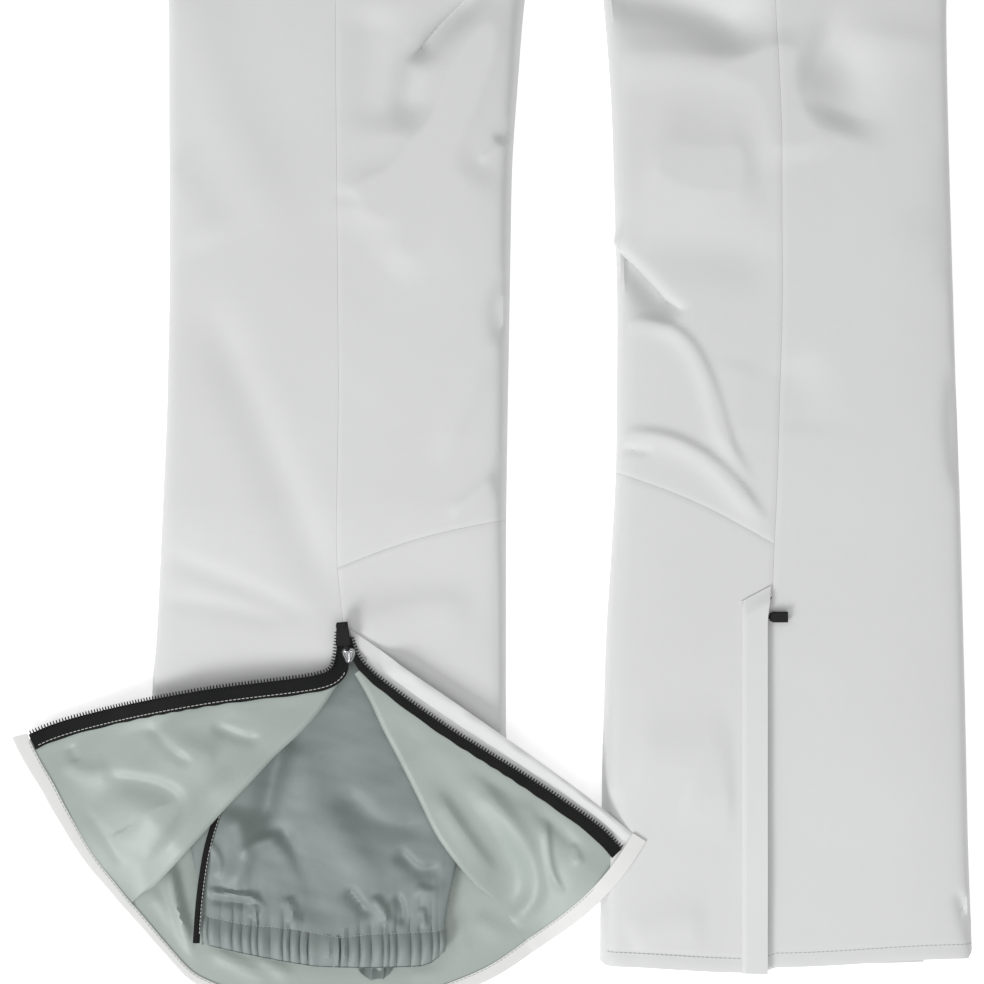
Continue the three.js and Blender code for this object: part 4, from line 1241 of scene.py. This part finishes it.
def right_storm_flap():
    """The closed leg's flap: hinged at its left edge, lying over the zip, a little wider at the hem."""
    low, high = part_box("right_storm_flap")
    left_x, right_x = low.x - MID_X, high.x - MID_X
    stitch_x = left_x + 0.0014

    def surface(u, v):
        y = mix(HEM_LOW_Y, mix(0.2425, 0.2525, u), v)
        x = mix(left_x, right_x + 0.0022 * smooth((v - 0.9) / 0.1), u)
        share = (x - left_x) / (right_x - left_x)
        z = 0.0266 + 0.0020 * smooth(share / 0.14) + 0.0018 * share
        z = mix(z, 0.0272, smooth((v - 0.95) / 0.05))
        sag = ripple(x, y, 0.05, 0.0005, 51) * smooth((0.20 - y) / 0.05) * u
        groove = 0.0003 * np.exp(-(((x - stitch_x) / 0.0007) ** 2))
        return x, y, np.minimum(z + sag, 0.0313) - groove

    piece = cloth("storm_flap_right", surface, 24, 200, SHELL_T, "shell")
    place(piece, "right_storm_flap", "shell_fabric", "right_storm_flap")
    row = sampled(lambda y: (stitch_x, y, 0.0269), 0.0, 0.240)
    stitches("storm_flap_right_stitch", row, "right_storm_flap")


def left_storm_flap():
    """The opened leg's flap, a soft band along the far side of the inner zip half."""
    near_at, _ = along(INNER_ZIP, -1)
    far_at, _ = along(STORM_EDGE, -1)

    def surface(u, v):
        near = np.array([near_at(t) for t in v[:, 0]])
        far = np.array([far_at(t) for t in v[:, 0]])
        share = mix(STORM_ROOT, 1.0, u)
        x = mix(near[:, :1], far[:, :1], share)
        y = mix(near[:, 1:], far[:, 1:], share)
        radius = to_polar(x, y)[1]
        z = mix(0.0279, bridge_height(x, y) + STORM_LIFT, smooth((radius - 0.021) / 0.014))
        puff = 0.0026 * smooth(u / 0.9) + 0.0010 * np.sin(math.pi * u)
        ruck = ripple(x, y, 0.026, 0.0016, 52) * np.sin(math.pi * np.clip(0.15 + 0.85 * u, 0, 1))
        return x, y, z + (puff + ruck) * smooth((radius - 0.022) / 0.016)

    piece = cloth("storm_flap_left", surface, 26, 170, SHELL_T, "shell")
    place(piece, "left_storm_flap", "shell_fabric", "left_storm_flap")


# ------------------------------------------------------------------ hardware and small cloth pieces


def block(name, outline, low, high, bevel, material, centre, degrees):
    """A solid with an outline, its top and bottom edges bevelled; placed at a pattern point and turned."""
    shape = np.array(outline, float)
    middle = shape.mean(0)
    reach = np.linalg.norm(shape - middle, axis=1, keepdims=True)
    inset = middle + (shape - middle) * (1 - bevel * 1.4 / reach)
    a = math.radians(degrees)
    turned = np.array([[math.cos(a), math.sin(a)], [-math.sin(a), math.cos(a)]])
    at = (centre[0] + MID_X, centre[1] + HEM_Y)
    count = len(shape)
    points = np.concatenate([
        np.concatenate([ring @ turned + at, np.full((count, 1), z)], axis=1)
        for ring, z in ((inset, low), (shape, low + bevel), (shape, high - bevel), (inset, high))
    ])
    faces = grid_faces(4, count, True).tolist()
    faces.append(list(range(count))[::-1])
    faces.append(list(range(3 * count, 4 * count)))
    return make_object(name, points, faces, material, 28)


def bar(name, start, end, width, height, material):
    """A rounded bar between two pattern points."""
    rings, sides = 12, 14
    ends = np.array([start, end], float) + (MID_X, HEM_Y, 0)
    run = ends[1] - ends[0]
    length = float(np.linalg.norm(run))
    shape, quads = bead(length, width, height, rings, sides)
    spots = ends.mean(0, keepdims=True)
    return repeated(name, spots, (run / length)[None], shape, quads[: (rings - 1) * sides], material)


def left_slider():
    """The slider at the apex of the opened zip: a tapered body with a rim, a bridge and a cross bar."""
    x, y = -0.1418, 0.2068
    low, top = 0.0279, 0.0300
    half_body = metres((-3, 5), (-4.6, 3.2), (-4.6, 0.8), (-2.8, -3.4), (-1.2, -5))
    body = half_body[:1] + [(-px, py) for px, py in half_body] + half_body[:0:-1]
    crown = [(px * 0.66, py * 0.66) for px, py in body]
    plate = block("left_slider_body", body, low, top, 0.0006, "dark_chrome", (x, y), 3)
    place(plate, "left_zip_slider", "dark_chrome", "left_zip_slider")
    parts = (
        block("left_slider_crown", crown, top - 0.0002, top + 0.0009, 0.0004, "dark_chrome", (x, y), 3),
        bar("left_slider_bridge", (x, y + 0.0036, top + 0.0014), (x + 0.0002, y - 0.0040, top + 0.0012),
            0.0020, 0.0022, "bright_chrome"),
        bar("left_slider_cross", (x - 0.0028, y + 0.0026, top + 0.0008),
            (x + 0.0028, y + 0.0026, top + 0.0008), 0.0016, 0.0018, "bright_chrome"),
    )
    for part in parts:
        place(part, "left_zip_slider", "dark_chrome")


def left_puller():
    """The black tab on that slider: a tapered grip, a raised tip and a neck."""
    grip = metres((-4.6, -7.8), (4.6, -7.8), (4.9, -6), (4, 7.8), (-3.2, 7.8), (-4.9, -6))
    tip = [(x * 0.92, y) for x, y in metres((-3.6, 0), (3.6, 0), (3.4, 2.6), (-3.2, 2.6))]
    tab = block("left_puller_grip", grip, 0.0325, 0.0357, 0.0006, "pull_plastic", (-0.1458, 0.2212), 5)
    place(tab, "left_zip_puller", "pull_tab_plastic", "left_zip_puller")
    parts = (
        block("left_puller_tip", tip, 0.0354, 0.0362, 0.0003, "pull_plastic", (-0.1468, 0.2256), 5),
        bar("left_puller_neck", (-0.1440, 0.2150, 0.0334), (-0.1424, 0.2098, 0.0330), 0.0030, 0.0016,
            "pull_plastic"),
    )
    for part in parts:
        place(part, "left_zip_puller", "pull_tab_plastic")


def hardware():
    """Sliders, pull tabs and the waist snap: the CAD pieces with rounded edges, and the opened zip's own."""
    for prefix in ("right_zip", "fly", "right_pocket", "left_pocket"):
        slider, puller = f"{prefix}_slider", f"{prefix}_puller"
        refined(slider, f"{slider}_fine", slider, "dark_chrome", "dark_chrome", 0.0003)
        refined(puller, f"{puller}_fine", puller, "pull_tab_plastic", "pull_plastic", 0.00018)
    left_slider()
    left_puller()
    refined("waist_snap_socket", "snap_socket_fine", "garment", "dark_chrome", "dark_chrome", levels=0)
    refined("waist_snap_cap", "snap_cap_fine", "waist_tab", "dark_chrome", "dark_chrome", 0.0007, levels=0)


def small_cloth():
    """Fly, waist tab, adjusters, pocket bags and belt loops: the CAD pieces refined as cloth."""
    refined("fly_guard", "fly_guard_cloth", "garment", "shell_fabric", "shell", levels=3, wrinkle=0.0005)
    refined("fly_flap", "fly_flap_cloth", "fly_flap", "shell_fabric", "shell", levels=3, wrinkle=0.0003)
    refined("waist_tab", "waist_tab_cloth", "waist_tab", "shell_fabric", "shell", levels=3)
    for side in ("right", "left"):
        adjuster = f"{side}_adjuster_tab"
        refined(adjuster, f"{side}_adjuster_cloth", adjuster, "shell_fabric", "shell", levels=3)
        refined(f"{side}_pocket_bag", f"{side}_pocket_bag_cloth", "garment", "lining_taffeta", "lining",
                levels=3, wrinkle=0.0010)
        for spot in ("near", "far"):
            refined(f"{side}_belt_loop_{spot}", f"{side}_loop_{spot}_cloth", "garment", "shell_fabric",
                    "shell", levels=2)


def topstitching():
    """Rows of thread on the right hem, either side of its zip."""
    def hem_point(x):
        z = float(leg_height(RIGHT, np.array(x), np.array(HEM_STITCH_Y))) - 0.0001
        return x, HEM_STITCH_Y + float(hem_shift(np.array(x))), z

    stitches("hem_stitch_inner", sampled(hem_point, 0.029, 0.1165, 80), "garment", "thread_grey")
    stitches("hem_stitch_outer", sampled(hem_point, 0.1345, 0.2715, 120), "garment", "thread_grey")


# ------------------------------------------------------------------ floor, lights, camera

GLOW = 0.42                    # of the world and the floor
VIEW_WIDTH = 0.657


def stage():
    """A wide, pale, slightly glowing floor."""
    mesh = bpy.data.meshes.new("floor")
    half = 6.0
    corners = [(-half, -half, 0), (half, -half, 0), (half, half, 0), (-half, half, 0)]
    mesh.from_pydata(corners, [], [(0, 1, 2, 3)])
    floor = bpy.data.objects.new("floor", mesh)
    bpy.context.scene.collection.objects.link(floor)
    floor.location.z = -0.0004
    material = bpy.data.materials.new("pale_floor")
    material.use_nodes = True
    sockets = material.node_tree.nodes["Principled BSDF"].inputs
    sockets["Base Color"].default_value = (0.93, 0.93, 0.93, 1)
    sockets["Roughness"].default_value = 0.9
    sockets["Specular IOR Level"].default_value = 0.1
    sockets["Emission Color"].default_value = (1, 1, 1, 1)
    sockets["Emission Strength"].default_value = GLOW
    mesh.materials.append(material)


def area_light(name, offset, size, power):
    """A square light, at an offset from the middle of the view and aimed at it."""
    data = bpy.data.lights.new(name, "AREA")
    data.shape = "SQUARE"
    data.size = size
    data.energy = power
    light = bpy.data.objects.new(name, data)
    bpy.context.scene.collection.objects.link(light)
    target = Vector((MID_X - 0.047, HEM_Y + 0.315, 0.0))
    light.location = target + Vector(offset)
    light.rotation_euler = (-Vector(offset)).to_track_quat("-Z", "Y").to_euler()


def lighting():
    """Soft light from the lower left, with a weak fill and a white surround."""
    area_light("key", (-2.1, -2.6, 2.2), 1.3, 92.0)
    area_light("fill_upper_left", (-1.6, 1.6, 2.2), 1.2, 8.0)
    area_light("top", (0.3, -0.9, 2.5), 2.0, 22.0)
    world = bpy.data.worlds.new("studio")
    world.use_nodes = True
    background = world.node_tree.nodes["Background"]
    background.inputs["Color"].default_value = (1, 1, 1, 1)
    background.inputs["Strength"].default_value = GLOW
    bpy.context.scene.world = world
    bpy.context.scene.view_settings.view_transform = "Standard"


def camera():
    """A long lens straight above the lower legs; VIEW_WIDTH of the floor fills the picture."""
    data = bpy.data.cameras.new("camera")
    data.lens = 85
    data.sensor_width = 36
    height = VIEW_WIDTH * data.lens / data.sensor_width
    cam = bpy.data.objects.new("camera", data)
    bpy.context.scene.collection.objects.link(cam)
    cam.location = (MID_X - 0.0474, HEM_Y + 0.3146, height + 0.012)
    cam.rotation_euler = (0, 0, 0)
    bpy.context.scene.camera = cam


make_materials()
camera()
stage()
lighting()
backs()
right_front()
left_front()
hips()
open_flaps()
facing()
gaiter_pair()
gaiter_binding()
left_zips()
right_zips()
closed_chains()
right_storm_flap()
left_storm_flap()
hardware()
small_cloth()
topstitching()
